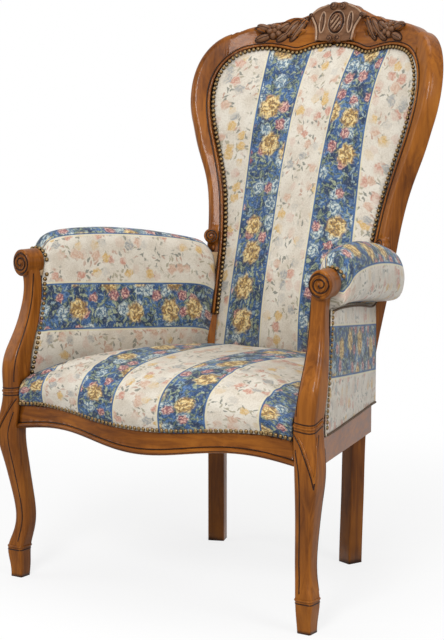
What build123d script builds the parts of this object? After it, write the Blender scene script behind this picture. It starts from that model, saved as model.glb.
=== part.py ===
from build123d import *
import os
from math import cos, pi, radians, sin, sqrt

# An upholstered armchair with a carved show-wood frame. Millimetres, +Z up, the sitter faces -Y.
# The origin is on the floor, under the middle of the chair's box.

# Seat frame
FRONT_LEG_X = 327.0       # foot centre, out from the middle
FRONT_LEG_Y = -318.0      # foot centre, front to back
REAR_LEG_X = 161.0
REAR_LEG_Y = 127.0
RAIL_TOP = 348.0          # top of the seat rails at the front legs
SEAT_RAKE = 0.05          # fall of the rail tops towards the back, per mm
RAIL_THICK = 26.0
FRONT_RAIL_Y = -335.0     # face of the front rail beside the legs
FRONT_RAIL_BOW = 42.0     # how far the middle of that face stands forward
BOW_HALF = 300.0          # from the middle to where the bow has died away
FRONT_RAIL_LOW = 291.0    # lower edge of the front rail in the middle
SCALLOP_RISE = 18.0       # how far that edge rises to each side
SCALLOP_HALF = 195.0      # from the middle to the highest point of the edge
BEAD = 10.0               # bead along the lower edge of the front rail
BEAD_PROUD = 4.0
SIDE_RAIL_FRONT = 28.0    # outer face of a side rail, out from the front foot centre
SIDE_RAIL_REAR = 42.0     # the same, out from the rear foot centre
SIDE_RAIL_TALL_FRONT = 46.0
SIDE_RAIL_TALL_REAR = 57.0
REAR_RAIL_TALL = 57.0
REAR_RAIL_Y = 134.0       # middle of the rear rail
SIDE_RAIL_START = 8.0     # where a side rail starts, inside the front leg
SIDE_RAIL_PAST = 12.0     # how far it runs past the rear foot's centre
LEG_ROOM = 24.0           # from a foot's centre to what has to clear the leg
BLOCK_TALL = 22.0         # glued corner blocks
FRONT_BLOCK_SIDE = 62.0   # length of a block along its rails, from its notch
REAR_BLOCK_SIDE = 92.0
BLOCK_DROP = 5.0          # from the rail tops down to the blocks

# Front legs and arm posts
SCROLL_HEIGHT = 612.0     # scroll eye above the floor
SCROLL_R = 24.0
SCROLL_DEEP = 42.0
SCROLL_OUT = 5.0          # scroll eye, out from the foot centre
SCROLL_BACK = 43.0        # scroll eye, back from the foot centre
SCROLL_TURN = 7.0         # degrees that the scroll faces outwards
SCROLL_OVAL = 2.0         # half the difference of its height and width
SCROLL_EASE = 4.0         # rounding of its front edge
VOLUTE_GROOVE = 2.4       # width of the carved spiral
VOLUTE_MARGIN = 4.0       # from the scroll's edge to the spiral
VOLUTE_STEP = 3.0         # how far the spiral closes in each half turn

# Back frame: an oblique barrel, round in plan and leaning back
BARREL_R = 442.0
BACK_LEAN = 0.28          # run of the back per mm of height
BACK_Y0 = 35.44           # front face of the back in the middle, carried down to the floor
FRAME_DEEP = 34.0
CREST_TOP = 1124.0        # middle of the crest
CREST_JOINT_X = 222.0     # joint of crest and stile
REAR_LEG_WIDE = 34.0
STILE_ROUND = 12.0        # front outer edge of stiles and crest
EDGE_ROUND = 3.0          # their other edges
LOWER_RAIL_Z = 470.0
LOWER_RAIL_TALL = 50.0
LOWER_RAIL_HALF = 172.0   # half its length, ending inside the stiles
LOWER_RAIL_IN = 10.0      # how far it lies behind the face of the back
ROSETTE_X = 202.0         # small carved scroll on each stile
ROSETTE_Z = 637.0
ROSETTE_R = 15.0
ROSETTE_PROUD = 6.0

# Arms
ARM_IN_FRONT = (308.0, -262.0)   # inside face of an arm, at its front end
ARM_IN_REAR = (180.0, 160.0)     # and where it meets the rear post
ARM_TOP = 671.0
ARM_RAIL_WIDE = 18.0
ARM_RAIL_TALL = 36.0
ARM_RAIL_Z_FRONT = 604.0
ARM_RAIL_Z_REAR = 586.0
ARM_RAIL_IN = 14.0               # middle of the arm rail, out from the inside face
PANEL_THICK = 5.0
PANEL_DROP = 2.0                 # from the roll's underside down to the panel
ROLL_LEAST = 18.0                # least height of the roll
POST_ROOM = 160.0                # depth and width of the room in front of a panel

# Seat filling
SEAT_CROWN = 98.0         # dome of the seat pad over the rail tops
SEAT_REAR_Y = 108.0
SEAT_CORNER = 2.0         # how far the pad's front corners stand behind the rail's face
WEB_DEPTH = 30.0          # upper face of the webbing, below the rail tops
WEB_WIDE = 50.0
WEB_THICK = 2.0
CROSS_STRAPS = 5          # seat straps from side to side
SPRING_WIRE = 3.8
SPRING_END_R = 36.0
SPRING_WAIST_R = 25.0
SPRING_TURNS = 5
TURN_SAMPLES = 60         # places on a turn where the wire's distance to itself is measured
SPRING_TOP = 52.0         # top of the springs over the rail tops
SPRING_PITCH_X = 130.0
SPRING_PITCH_Y = 115.0
SPRING_FIRST_Y = 68.0     # first row, behind the front foot centres
SPRING_MARGIN = 8.0       # room round the springs inside the seat pad
CANVAS_THICK = 1.2
DUST_THICK = 0.8

# Back filling
BACK_DEEP = 18.0          # back of the pad, behind the frame's face
BACK_EDGE_IN = 2.0        # edge of the pad, behind the frame's face
BACK_STRAPS = 5
BACK_STRAP_LOW = 600.0
BACK_STRAP_PITCH = 78.0
OUTSIDE_THICK = 3.0

# Joints
DOWEL_D = 9.0
DOWEL_LONG = 40.0
DOWEL_DROP = 20.0         # middle of a pair of dowels, below the rail tops
DOWEL_PITCH = 22.0        # between the two dowels of a pair
CREST_DOWEL_PITCH = 13.2  # the same in the crest's joints
CLEAR = 0.3               # between the soft pieces and what they touch
CURVE_CLEAR = 1.0         # the same along edges that curve two ways

UP = Vector(0, 0, 1)


def rail_top(y):
    """Height of the seat rails' upper faces."""
    return RAIL_TOP - SEAT_RAKE * (y - FRONT_LEG_Y)


def front_rail_face(x):
    """Front face of the serpentine front rail, in plan."""
    if abs(x) > BOW_HALF:
        return FRONT_RAIL_Y
    return FRONT_RAIL_Y - FRONT_RAIL_BOW * (1 + cos(pi * x / BOW_HALF)) / 2


def front_rail_low(x):
    """Scalloped lower edge of the front rail."""
    return FRONT_RAIL_LOW + SCALLOP_RISE * (1 - cos(pi * x / SCALLOP_HALF)) / 2


def barrel_drop(x):
    """How far the barrel has come forward at x."""
    return BARREL_R - sqrt(BARREL_R**2 - x**2)


def back_point(x, z, deep=0.0):
    """A point of the back frame, deep behind its front face."""
    back = back_normal(x)
    return Vector(x, BACK_Y0 + BACK_LEAN * z - barrel_drop(x), z) + back * deep


def back_normal(x):
    """Level direction straight through the back frame."""
    return Vector(x, sqrt(BARREL_R**2 - x**2), 0) * (1 / BARREL_R)


def closed_face(points_and_mids):
    """A flat face from corners, where a corner may carry the middle point of the arc that follows it."""
    edges = []
    count = len(points_and_mids)
    for i, (corner, mid) in enumerate(points_and_mids):
        after = points_and_mids[(i + 1) % count][0]
        if mid is None:
            edges.append(Edge.make_line(corner, after))
        else:
            edges.append(Edge.make_three_point_arc(corner, mid, after))
    return Face(Wire(edges))


def rounded(plane, deep, wide, front_outer, others):
    """A four-sided section, x of the plane to the back and y to the inside, rounder at the front outside."""
    half_x = deep / 2
    half_y = wide / 2
    corners = [(-1, -1, front_outer), (1, -1, others), (1, 1, others), (-1, 1, others)]
    chain = []
    for turn, (sx, sy, r) in enumerate(corners):
        middle = Vector(sx * (half_x - r), sy * (half_y - r), 0)
        entry = Vector(sx * r, 0, 0) if turn % 2 == 0 else Vector(0, sy * r, 0)
        leave = Vector(0, sy * r, 0) if turn % 2 == 0 else Vector(sx * r, 0, 0)
        bulge = Vector(sx * r, sy * r, 0) * sqrt(0.5)
        chain.append((plane.from_local_coords(middle + entry), plane.from_local_coords(middle + bulge)))
        chain.append((plane.from_local_coords(middle + leave), None))
    return closed_face(chain)


def smooth(table, place):
    """The row of a table at a place, on cubics through its rows; constant beyond both ends."""
    place = min(max(place, table[0][0]), table[-1][0])
    i = 1
    while table[i][0] < place:
        i += 1
    here, there = table[i - 1], table[i]
    before = table[max(i - 2, 0)]
    after = table[min(i + 1, len(table) - 1)]
    span = there[0] - here[0]
    t = (place - here[0]) / span
    row = []
    for a, b, p, q in zip(here[1:], there[1:], before[1:], after[1:]):
        slope_a = span * (b - p) / (there[0] - before[0])
        slope_b = span * (q - a) / (after[0] - here[0])
        row.append((2 * t**3 - 3 * t**2 + 1) * a + (t**3 - 2 * t**2 + t) * slope_a
                   + (3 * t**2 - 2 * t**3) * b + (t**3 - t**2) * slope_b)
    return row


# Front legs with their arm posts

# Share of the rail height, shift outwards and forwards along the diagonal, width, corner radius
LEG_TABLE = [
    (0.00, 0.0, 27.0, 3.0),
    (0.11, 0.0, 32.0, 4.0),
    (0.16, 1.0, 35.0, 6.0),
    (0.23, -4.0, 34.0, 8.0),
    (0.36, -9.0, 33.0, 9.0),
    (0.60, 0.0, 38.0, 10.0),
    (0.82, 9.0, 45.0, 10.0),
    (1.00, 2.0, 44.0, 9.0),
]
# Share of the way from the rail tops to the scroll eye, shift outwards, shift back, width, depth, radius
POST_TABLE = [
    (0.00, 2.0, -2.0, 44.0, 44.0, 9.0),
    (0.08, 1.0, -2.0, 42.0, 43.0, 9.0),
    (0.21, 4.0, 1.0, 40.0, 49.0, 10.0),
    (0.33, 5.0, 8.0, 38.0, 49.0, 10.0),
    (0.46, 2.0, 21.0, 36.0, 40.0, 9.0),
    (0.60, -2.0, 34.0, 33.0, 33.0, 8.0),
    (0.80, -5.0, 43.0, 29.0, 28.0, 7.0),
    (1.00, 0.0, 43.0, 29.0, 28.0, 7.0),
]
LEG_STEPS = 12            # sections below the rail tops
POST_STEPS = 9            # and above them
SPARE_STEPS = 2           # sections past an end, cut off again so that the end runs true
SCROLL_EYE = Vector(FRONT_LEG_X + SCROLL_OUT, FRONT_LEG_Y + SCROLL_BACK, SCROLL_HEIGHT)
SCROLL_FACING = Vector(sin(radians(SCROLL_TURN)), -cos(radians(SCROLL_TURN)), 0)
SCROLL_FACE = Plane(origin=SCROLL_EYE + SCROLL_FACING * (SCROLL_DEEP / 2),
                    x_dir=UP.cross(SCROLL_FACING), z_dir=SCROLL_FACING)
FLOOR = Plane.XY


def volute():
    """The carved spiral of a scroll, as a round groove along half circles that shrink inwards."""
    edges = []
    middle = 0.0
    radius = SCROLL_R - VOLUTE_MARGIN
    side = 1
    while radius > 2 * VOLUTE_STEP:
        start = SCROLL_FACE.from_local_coords(Vector(0, middle + side * radius, 0))
        bulge = SCROLL_FACE.from_local_coords(Vector(-side * radius, middle, 0))
        end = SCROLL_FACE.from_local_coords(Vector(0, middle - side * radius, 0))
        edges.append(Edge.make_three_point_arc(start, bulge, end))
        radius -= VOLUTE_STEP
        middle -= side * VOLUTE_STEP
        side = -side
    path = Wire(edges)
    ring = Plane(origin=path @ 0, z_dir=path % 0) * Circle(VOLUTE_GROOVE / 2)
    return sweep(ring, path)


def leg_sections(first, grow):
    """Sections of the right front leg and arm post from a step of the leg upwards, grown all round."""
    sections = []
    for i in range(first, LEG_STEPS):
        share = i / LEG_STEPS
        shift, size, radius = smooth(LEG_TABLE, share)
        middle = (FRONT_LEG_X + shift, FRONT_LEG_Y - shift, share * RAIL_TOP)
        plane = Plane(origin=middle, x_dir=(0, 1, 0), z_dir=UP)
        sections.append(rounded(plane, size + 2 * grow, size + 2 * grow, radius, radius))
    for i in range(POST_STEPS + 1):
        share = i / POST_STEPS
        out, back, wide, deep, radius = smooth(POST_TABLE, share)
        height = RAIL_TOP + share * (SCROLL_HEIGHT - RAIL_TOP)
        plane = Plane(origin=(FRONT_LEG_X + out, FRONT_LEG_Y + back, height),
                      x_dir=Vector(0, 1, 0) * (1 - share) - SCROLL_FACING * share, z_dir=UP)
        sections.append(rounded(plane, deep + 2 * grow, wide + 2 * grow, radius, radius))
    return sections


def scroll_head(grow):
    """The block of the scroll, grown all round."""
    oval = SCROLL_FACE * Ellipse(SCROLL_R - SCROLL_OVAL + grow, SCROLL_R + SCROLL_OVAL + grow)
    return extrude(oval, -SCROLL_DEEP - grow)


def front_leg():
    """The right front leg: cabriole below the rails, arm post and scroll above them."""
    stick = split(loft(leg_sections(-SPARE_STEPS, 0)), bisect_by=FLOOR, keep=Keep.TOP)
    head = scroll_head(0)
    head = fillet(head.edges().group_by(Axis(SCROLL_FACE.origin, SCROLL_FACING))[-1], SCROLL_EASE)
    return stick + head - volute()


def arm_post_room():
    """The space that the right arm post takes out of the stuffing beside it."""
    return [loft(leg_sections(LEG_STEPS - SPARE_STEPS, CURVE_CLEAR)), scroll_head(CURVE_CLEAR)]


def post_front_room():
    """All the room from the right arm post's rear face forwards, where the arm's cover stops."""
    sections = []
    for i in range(-1, POST_STEPS + SPARE_STEPS):
        share = i / POST_STEPS
        out, back, _, deep, radius = smooth(POST_TABLE, share)
        rear = FRONT_LEG_Y + back + deep / 2 + CURVE_CLEAR
        height = RAIL_TOP + share * (SCROLL_HEIGHT - RAIL_TOP)
        plane = Plane(origin=(FRONT_LEG_X + out, rear - POST_ROOM / 2, height), x_dir=(0, 1, 0), z_dir=UP)
        sections.append(rounded(plane, POST_ROOM, POST_ROOM, radius, radius))
    return loft(sections)


# Back frame: posts on the barrel, and the crest across them

# Height, and the shift outwards and back from the foot, below the barrel
REAR_LEG_BENDS = [(0.0, 0.0, 0.0), (150.0, 2.0, 3.0), (300.0, 5.0, 7.0), (390.0, 12.0, 16.0),
                  (480.0, 23.0, 29.0), (570.0, 35.0, 45.0)]
# Middle of the stile's front face on the barrel, and its height
STILE_BENDS = [(198.0, 670.0), (213.0, 760.0), (229.0, 808.0), (244.0, 855.0), (256.0, 905.0),
               (260.0, 945.0), (255.0, 986.0), (242.0, 1016.0)]
# Crest: out from the middle, fall of the top edge, height of the rail there
CREST_TABLE = [(0.0, 0.0, 88.0), (30.0, 6.0, 84.0), (55.0, 17.0, 78.0), (84.0, 29.0, 76.0),
               (112.0, 36.0, 63.0), (155.0, 43.0, 51.0), (195.0, 53.0, 49.0),
               (CREST_JOINT_X, 68.0, 45.0)]
POST_SECTIONS = 28
BELOW_FLOOR = (120.0, 60.0)      # places of the rear leg's line below the floor
PAST_JOINT = (25.0, 50.0)        # and of the stile's line past its joint
CREST_STEPS = 8           # sections from the middle of the crest to its joint
RULING = Vector(0, BACK_LEAN, 1).normalized()


def surface_normal(x):
    """Direction through the back frame, square to its leaning face."""
    level = sqrt(BARREL_R**2 - x**2) / BARREL_R
    return Vector(x / BARREL_R, level, -level * BACK_LEAN).normalized()


def crest_section(x):
    """Plane across the crest at x, centred in its section with y pointing down, and its height."""
    fall, height = smooth(CREST_TABLE, abs(x))
    normal = surface_normal(x)
    middle = CREST_TOP - fall - height / 2
    origin = back_point(x, middle) + normal * (FRAME_DEEP / 2)
    return Plane(origin=origin, x_dir=normal, z_dir=RULING.cross(normal)), height / RULING.Z


JOINT_PLANE, JOINT_TALL = crest_section(CREST_JOINT_X)


def post_sections():
    """Planes, widths and front rounding of the right rear leg and stile, up into the crest."""
    foot_x, foot_y = REAR_LEG_X, REAR_LEG_Y
    middles = [Vector(foot_x, foot_y, -h) for h in BELOW_FLOOR]
    middles += [Vector(foot_x + out, foot_y + back, height) for height, out, back in REAR_LEG_BENDS]
    for x, height in STILE_BENDS:
        middles.append(back_point(x, height) + surface_normal(x) * (FRAME_DEEP / 2))
    middles.append(JOINT_PLANE.origin)
    middles += [crest_section(CREST_JOINT_X - past)[0].origin for past in PAST_JOINT]
    path = Edge.make_spline(middles)
    leg_top = REAR_LEG_BENDS[-1][0]
    stile_low = STILE_BENDS[0][1]
    widest = max(x for x, _ in STILE_BENDS)
    rows = []
    for i in range(POST_SECTIONS):
        middle = path.position_at(i / (POST_SECTIONS - 1))
        tangent = path.tangent_at(i / (POST_SECTIONS - 1))
        share = min(max((middle.Z - leg_top) / (stile_low - leg_top), 0.0), 1.0)
        rise = min(max((middle.Z - stile_low) / (JOINT_PLANE.origin.Z - stile_low), 0.0), 1.0)
        normal = back_normal(foot_x) * (1 - share) + surface_normal(min(middle.X, widest)) * share
        wide = REAR_LEG_WIDE + (JOINT_TALL - REAR_LEG_WIDE) * rise
        front_outer = EDGE_ROUND + (STILE_ROUND - EDGE_ROUND) * share
        rows.append((Plane(origin=middle, x_dir=normal, z_dir=tangent), wide, front_outer))
    return rows


def stile_inner_edge():
    """Height, distance out and place front to back of the stile's front inner edge, up to the shoulder."""
    table = []
    for plane, wide, _ in post_sections():
        edge = plane.from_local_coords(Vector(-FRAME_DEEP / 2, wide / 2, 0))
        if not table or edge.Z > table[-1][0]:
            table.append((edge.Z, edge.X, edge.Y))
    return table


def rear_post():
    """The right rear leg and stile in one, up to its joint with the crest."""
    sections = [rounded(plane, FRAME_DEEP, wide, ease, EDGE_ROUND) for plane, wide, ease in post_sections()]
    stick = split(loft(sections), bisect_by=FLOOR, keep=Keep.TOP)
    room = Box(3 * FRAME_DEEP, 3 * JOINT_TALL, CREST_JOINT_X)
    past_joint = JOINT_PLANE * Pos(0, 0, CREST_JOINT_X / 2) * room
    normal = surface_normal(ROSETTE_X)
    face = Plane(origin=back_point(ROSETTE_X, ROSETTE_Z) - normal * ROSETTE_PROUD, z_dir=normal)
    return stick - past_joint + extrude(face * Circle(ROSETTE_R), FRAME_DEEP / 2)


# Carving of the crest, seen from the front and measured from the top of its middle.
# Corners of the cartouche, each with the middle of the arc that follows
CARTOUCHE = [((45.0, -80.0), (49.0, -54.0)), ((63.0, -32.0), (51.0, -16.0)),
             ((30.0, -9.0), (0.0, -3.0)), ((-30.0, -9.0), (-51.0, -16.0)),
             ((-63.0, -32.0), (-49.0, -54.0)), ((-45.0, -80.0), (0.0, -84.0))]
# Two ends of a leaf and the middles of its upper and lower edge
SPRAY_LEAVES = [((66.0, -42.0), (96.0, -33.0), (126.0, -48.0), (96.0, -53.0)),
                ((69.0, -60.0), (96.0, -53.5), (121.0, -66.0), (95.0, -73.0)),
                ((149.0, -58.0), (163.0, -50.0), (177.0, -56.0), (162.0, -64.0))]
FLOWER_AT = (137.0, -60.0)
FLOWER_R = 9.0            # from the flower's middle to its petals
PETAL_R = 6.5
PETALS = 5
EYE_R = 5.0
MEDALLION_AT = -44.0
MEDALLION_WIDE = 14.0
MEDALLION_TALL = 19.0
FLUTE_X = 33.0
FLUTE_WIDE = 4.5
FLUTE_TALL = 20.0
FLUTE_DEEP = 3.0
CARTOUCHE_PROUD = 6.0
MEDALLION_PROUD = 10.0
LEAF_PROUD = 5.0
EYE_PROUD = 8.0
CARVING_ROOT = 8.0        # how far the carving reaches into the rail


def raised(flat, proud):
    """A carved mass over a flat outline, proud of the crest's face and following its curve."""
    tall = 2 * JOINT_TALL
    block = extrude(Pos(0, 0, CREST_TOP) * flat, BARREL_R, dir=(0, 1, 0))
    return block & barrel_shell(-proud, CARVING_ROOT, CREST_TOP - tall, CREST_TOP + tall)


def seen_from_front(x, z, flat):
    """A flat drawing set upright, facing the front."""
    return Plane(origin=(x, 0, z), x_dir=(1, 0, 0), z_dir=(0, -1, 0)) * flat


def crest_carving():
    """Cartouche with its medallion and flutes, and a spray of leaves and a flower on each side."""
    corners = [(Vector(x, 0, z), Vector(mx, 0, mz)) for (x, z), (mx, mz) in CARTOUCHE]
    shield = raised(closed_face(corners), CARTOUCHE_PROUD)
    floor = CARTOUCHE_PROUD - FLUTE_DEEP
    for side in (-1, 1):
        slot = seen_from_front(side * FLUTE_X, MEDALLION_AT, Ellipse(FLUTE_WIDE, FLUTE_TALL))
        shield -= raised(slot, EYE_PROUD) - raised(slot, floor)
    oval = seen_from_front(0, MEDALLION_AT, Ellipse(MEDALLION_WIDE, MEDALLION_TALL))
    right = []
    for base, upper, tip, lower in SPRAY_LEAVES:
        ends = [(base, upper), (tip, lower)]
        leaf = closed_face([(Vector(x, 0, z), Vector(mx, 0, mz)) for (x, z), (mx, mz) in ends])
        right.append(raised(leaf, LEAF_PROUD))
    x, z = FLOWER_AT
    flower = Sketch() + Circle(FLOWER_R)
    for i in range(PETALS):
        flower += Rot(0, 0, 360 * i / PETALS) * Pos(0, FLOWER_R) * Circle(PETAL_R)
    right.append(raised(seen_from_front(x, z, flower), LEAF_PROUD))
    right.append(raised(seen_from_front(x, z, Circle(EYE_R)), EYE_PROUD))
    return [shield, raised(oval, MEDALLION_PROUD)] + mirrored(right)


def crest_rail():
    """The serpentine top rail, lofted from joint to joint through sections square to the barrel."""
    sections = []
    for i in range(-CREST_STEPS - SPARE_STEPS, CREST_STEPS + SPARE_STEPS + 1):
        plane, height = crest_section(CREST_JOINT_X * i / CREST_STEPS)
        sections.append(rounded(plane, FRAME_DEEP, height, STILE_ROUND, EDGE_ROUND))
    whole = loft(sections)
    whole = split(whole, bisect_by=JOINT_PLANE, keep=Keep.TOP)
    left_plane, _ = crest_section(-CREST_JOINT_X)
    return split(whole, bisect_by=left_plane, keep=Keep.BOTTOM) + crest_carving()


def barrel_shell(inner, outer, low, high):
    """A leaning ring of the back's barrel between two depths behind its front face and two heights."""
    middle = Vector(0, BACK_Y0 + BACK_LEAN * low - BARREL_R, low)
    ring = Pos(*middle) * (Circle(BARREL_R + outer) - Circle(BARREL_R + inner))
    return extrude(ring, (high - low) / RULING.Z, dir=RULING)


def slab(x0, x1, y0, y1, z0, z1):
    """A box between two corners."""
    return Pos((x0 + x1) / 2, (y0 + y1) / 2, (z0 + z1) / 2) * Box(x1 - x0, y1 - y0, z1 - z0)


def lower_back_rail(posts):
    """The rail across the back above the seat, curved as the back is."""
    low = LOWER_RAIL_Z - LOWER_RAIL_TALL / 2
    high = LOWER_RAIL_Z + LOWER_RAIL_TALL / 2
    ring = barrel_shell(LOWER_RAIL_IN, FRAME_DEEP, low, high)
    between = slab(-LOWER_RAIL_HALF, LOWER_RAIL_HALF, 0, BARREL_R, 0, CREST_TOP)
    return (ring & between) - posts


# Seat rails

SIDE_FACE_FRONT = Vector(FRONT_LEG_X + SIDE_RAIL_FRONT, FRONT_LEG_Y, 0)
SIDE_FACE_REAR = Vector(REAR_LEG_X + SIDE_RAIL_REAR, REAR_LEG_Y, 0)
SIDE_RUN = (SIDE_FACE_REAR - SIDE_FACE_FRONT).normalized()
SIDE_OUT = Vector(SIDE_RUN.Y, -SIDE_RUN.X, 0)
FRONT_RAIL_STEPS = 9
SEAT = Plane(origin=(0, FRONT_LEG_Y, RAIL_TOP), x_dir=(1, 0, 0), z_dir=(0, SEAT_RAKE, 1))


def rear_rail_middle(x):
    """Middle of the bowed rear rail, in plan."""
    return REAR_RAIL_Y + barrel_drop(REAR_LEG_X) - barrel_drop(x)


def side_rail_middle(y):
    """Middle of a side rail, in plan, out from the middle of the chair."""
    along = (y - SIDE_FACE_FRONT.Y) / SIDE_RUN.Y
    return SIDE_FACE_FRONT.X + SIDE_RUN.X * along - RAIL_THICK / 2 / SIDE_OUT.X


def front_seat_rail(legs):
    """The serpentine front rail: its section with the bead, lofted from leg to leg and coped to them."""
    sections = []
    half = FRONT_LEG_X
    for i in range(-FRONT_RAIL_STEPS, FRONT_RAIL_STEPS + 1):
        x = half * i / FRONT_RAIL_STEPS
        plane = Plane(origin=(x, front_rail_face(x), 0), x_dir=(0, 1, 0), z_dir=(1, 0, 0))
        low = front_rail_low(x)
        face = front_rail_face(x)
        corners = [((RAIL_THICK, low), None), ((RAIL_THICK, rail_top(face + RAIL_THICK)), None),
                   ((0, rail_top(face)), None),
                   ((0, low + BEAD), (-BEAD_PROUD, low + BEAD / 2)), ((0, low), None)]
        placed = []
        for corner, bulge in corners:
            mid = plane.from_local_coords(Vector(*bulge)) if bulge else None
            placed.append((plane.from_local_coords(Vector(*corner)), mid))
        sections.append(closed_face(placed))
    return largest(loft(sections) - legs)


def largest(shape):
    """The biggest solid of a cut shape."""
    return Part() + shape.solids().sort_by(SortBy.VOLUME)[-1]


def side_section(place, tall):
    """Upright section of a side rail where its outer face passes a point."""
    top = rail_top(place.Y)
    plane = Plane(origin=Vector(place.X, place.Y, top), x_dir=-SIDE_OUT, z_dir=SIDE_RUN)
    down = plane.from_local_coords(Vector(0, 1, 0)).Z < top
    sign = 1 if down else -1
    return closed_face([(plane.from_local_coords(Vector(x, sign * y, 0)), None)
                        for x, y in ((0, 0), (RAIL_THICK, 0), (RAIL_THICK, tall), (0, tall))])


def side_seat_rail(leg, post):
    """The right side rail, from inside the front leg to inside the rear post, then coped to both."""
    front = SIDE_FACE_FRONT + SIDE_RUN * SIDE_RAIL_START
    rear = SIDE_FACE_REAR + SIDE_RUN * SIDE_RAIL_PAST
    bar = loft([side_section(front, SIDE_RAIL_TALL_FRONT), side_section(rear, SIDE_RAIL_TALL_REAR)])
    return largest(bar - [leg, post])


def rear_seat_rail(posts):
    """The rail between the rear legs, bowed back as the back is."""
    top = rail_top(REAR_RAIL_Y)
    middle = REAR_RAIL_Y + barrel_drop(REAR_LEG_X) - BARREL_R
    ring = Circle(BARREL_R + RAIL_THICK / 2) - Circle(BARREL_R - RAIL_THICK / 2)
    ring = extrude(Pos(0, middle, top - REAR_RAIL_TALL) * ring, REAR_RAIL_TALL)
    return largest((ring & slab(-REAR_LEG_X, REAR_LEG_X, 0, BARREL_R, 0, RAIL_TOP)) - posts)


def corner_block(corners, rails):
    """A glued block across a corner of the seat frame, notched round the leg and cut to the two rails."""
    plan = closed_face([(Vector(x, y - FRONT_LEG_Y, 0), None) for x, y in corners])
    block = SEAT * Pos(0, 0, -BLOCK_DROP - BLOCK_TALL) * extrude(plan, BLOCK_TALL, dir=UP)
    return largest(block - rails)


def front_block_corners():
    """Plan of the right front block, reaching a little into both rails."""
    leg_x, leg_y = FRONT_LEG_X - LEG_ROOM, FRONT_LEG_Y + LEG_ROOM
    far_y = leg_y + FRONT_BLOCK_SIDE
    near_x = leg_x - FRONT_BLOCK_SIDE
    return [(near_x, FRONT_RAIL_Y + RAIL_THICK / 2), (leg_x, FRONT_RAIL_Y + RAIL_THICK / 2), (leg_x, leg_y),
            (side_rail_middle(leg_y), leg_y), (side_rail_middle(far_y), far_y)]


def rear_block_corners():
    """Plan of the right rear block, reaching a little into both rails."""
    leg_x, leg_y = REAR_LEG_X - LEG_ROOM, REAR_LEG_Y - LEG_ROOM
    far_y = leg_y - REAR_BLOCK_SIDE
    near_x = leg_x - REAR_BLOCK_SIDE
    return [(near_x, rear_rail_middle(near_x)), (leg_x, rear_rail_middle(leg_x)), (leg_x, leg_y),
            (side_rail_middle(leg_y), leg_y), (side_rail_middle(far_y), far_y)]


# Arms

ARM_FRONT = Vector(*ARM_IN_FRONT, 0)
ARM_REAR = Vector(*ARM_IN_REAR, 0)
ARM_RUN = (ARM_REAR - ARM_FRONT).normalized()
ARM_OUT = Vector(ARM_RUN.Y, -ARM_RUN.X, 0)
ARM_LONG = (ARM_REAR - ARM_FRONT).length
# Along the arm from its front, fall of its top, width over the roll, underside of the roll, wall
ARM_TABLE = [
    (-40.0, 34.0, 48.0, 562.0, 22.0),
    (2.0, 30.0, 54.0, 562.0, 22.0),
    (26.0, 9.0, 60.0, 562.0, 22.0),
    (70.0, 0.0, 66.0, 560.0, 21.0),
    (165.0, 1.0, 73.0, 552.0, 18.0),
    (270.0, 12.0, 80.0, 540.0, 15.0),
    (352.0, 28.0, 84.0, 528.0, 12.0),
    (394.0, 41.0, 78.0, 524.0, 11.0),
    (416.0, 60.0, 60.0, 526.0, 11.0),
    (430.0, 84.0, 34.0, 530.0, 11.0),
]
ARM_SECTIONS = 11
ARM_INNER_ROUND = 32.0    # rounding of the arm's top inner edge
ROLL_FULL = 0.78          # how far out the underside of the roll stays full
ROLL_HANG = 0.32          # and how far up its middle that point lies


def arm_plane(along):
    """Upright plane across the arm: x points outwards, y up."""
    return Plane(origin=ARM_FRONT + ARM_RUN * along, x_dir=ARM_OUT, z_dir=-ARM_RUN)


def arm_bottom(along):
    """Where the arm's filling sits on the side rail."""
    return rail_top((ARM_FRONT + ARM_RUN * along).Y)


def arm_pad(wood):
    """The right arm's stuffing: inside wall, top and outward roll in one, cut to the wood inside it."""
    first, last = ARM_TABLE[0][0], ARM_TABLE[-1][0]
    sections = []
    for i in range(ARM_SECTIONS + 1):
        along = first + (last - first) * i / ARM_SECTIONS
        fall, wide, under, wall = smooth(ARM_TABLE, along)
        top = ARM_TOP - fall
        low = arm_bottom(along)
        plane = arm_plane(along)
        under = min(under, top - ROLL_LEAST)
        mid = (top + under) / 2
        ease = min(ARM_INNER_ROUND, top - mid)
        half = wide / 2
        corners = [
            ((0, low), None),
            ((0, top - ease), (half * (1 - sqrt(0.5)), top - ease * (1 - sqrt(0.5)))),
            ((half, top), (half * (1 + sqrt(0.5)), mid + (top - mid) * sqrt(0.5))),
            ((wide, mid), (wall + (wide - wall) * ROLL_FULL, under + (mid - under) * ROLL_HANG)),
            ((wall, under), None),
            ((wall, low), None),
        ]
        placed = []
        for corner, bulge in corners:
            turn = plane.from_local_coords(Vector(*bulge)) if bulge else None
            placed.append((plane.from_local_coords(Vector(*corner)), turn))
        sections.append(closed_face(placed))
    return largest(loft(sections) - wood)


def outside_arm_panel(wood):
    """The thin covered panel below the right arm's roll, from post to post and down to the side rail."""
    first = ARM_TABLE[0][0]
    sections = []
    for i in range(ARM_SECTIONS + 1):
        along = first + (ARM_LONG - first) * i / ARM_SECTIONS
        fall, _, under, wall = smooth(ARM_TABLE, along)
        plane = arm_plane(along)
        low = arm_bottom(along)
        inner = wall + CURVE_CLEAR
        high = min(under, ARM_TOP - fall - ROLL_LEAST) - PANEL_DROP
        corners = [(inner, low), (inner + PANEL_THICK, low), (inner + PANEL_THICK, high), (inner, high)]
        sections.append(closed_face([(plane.from_local_coords(Vector(*c)), None) for c in corners]))
    return largest(loft(sections) - wood)


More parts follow.
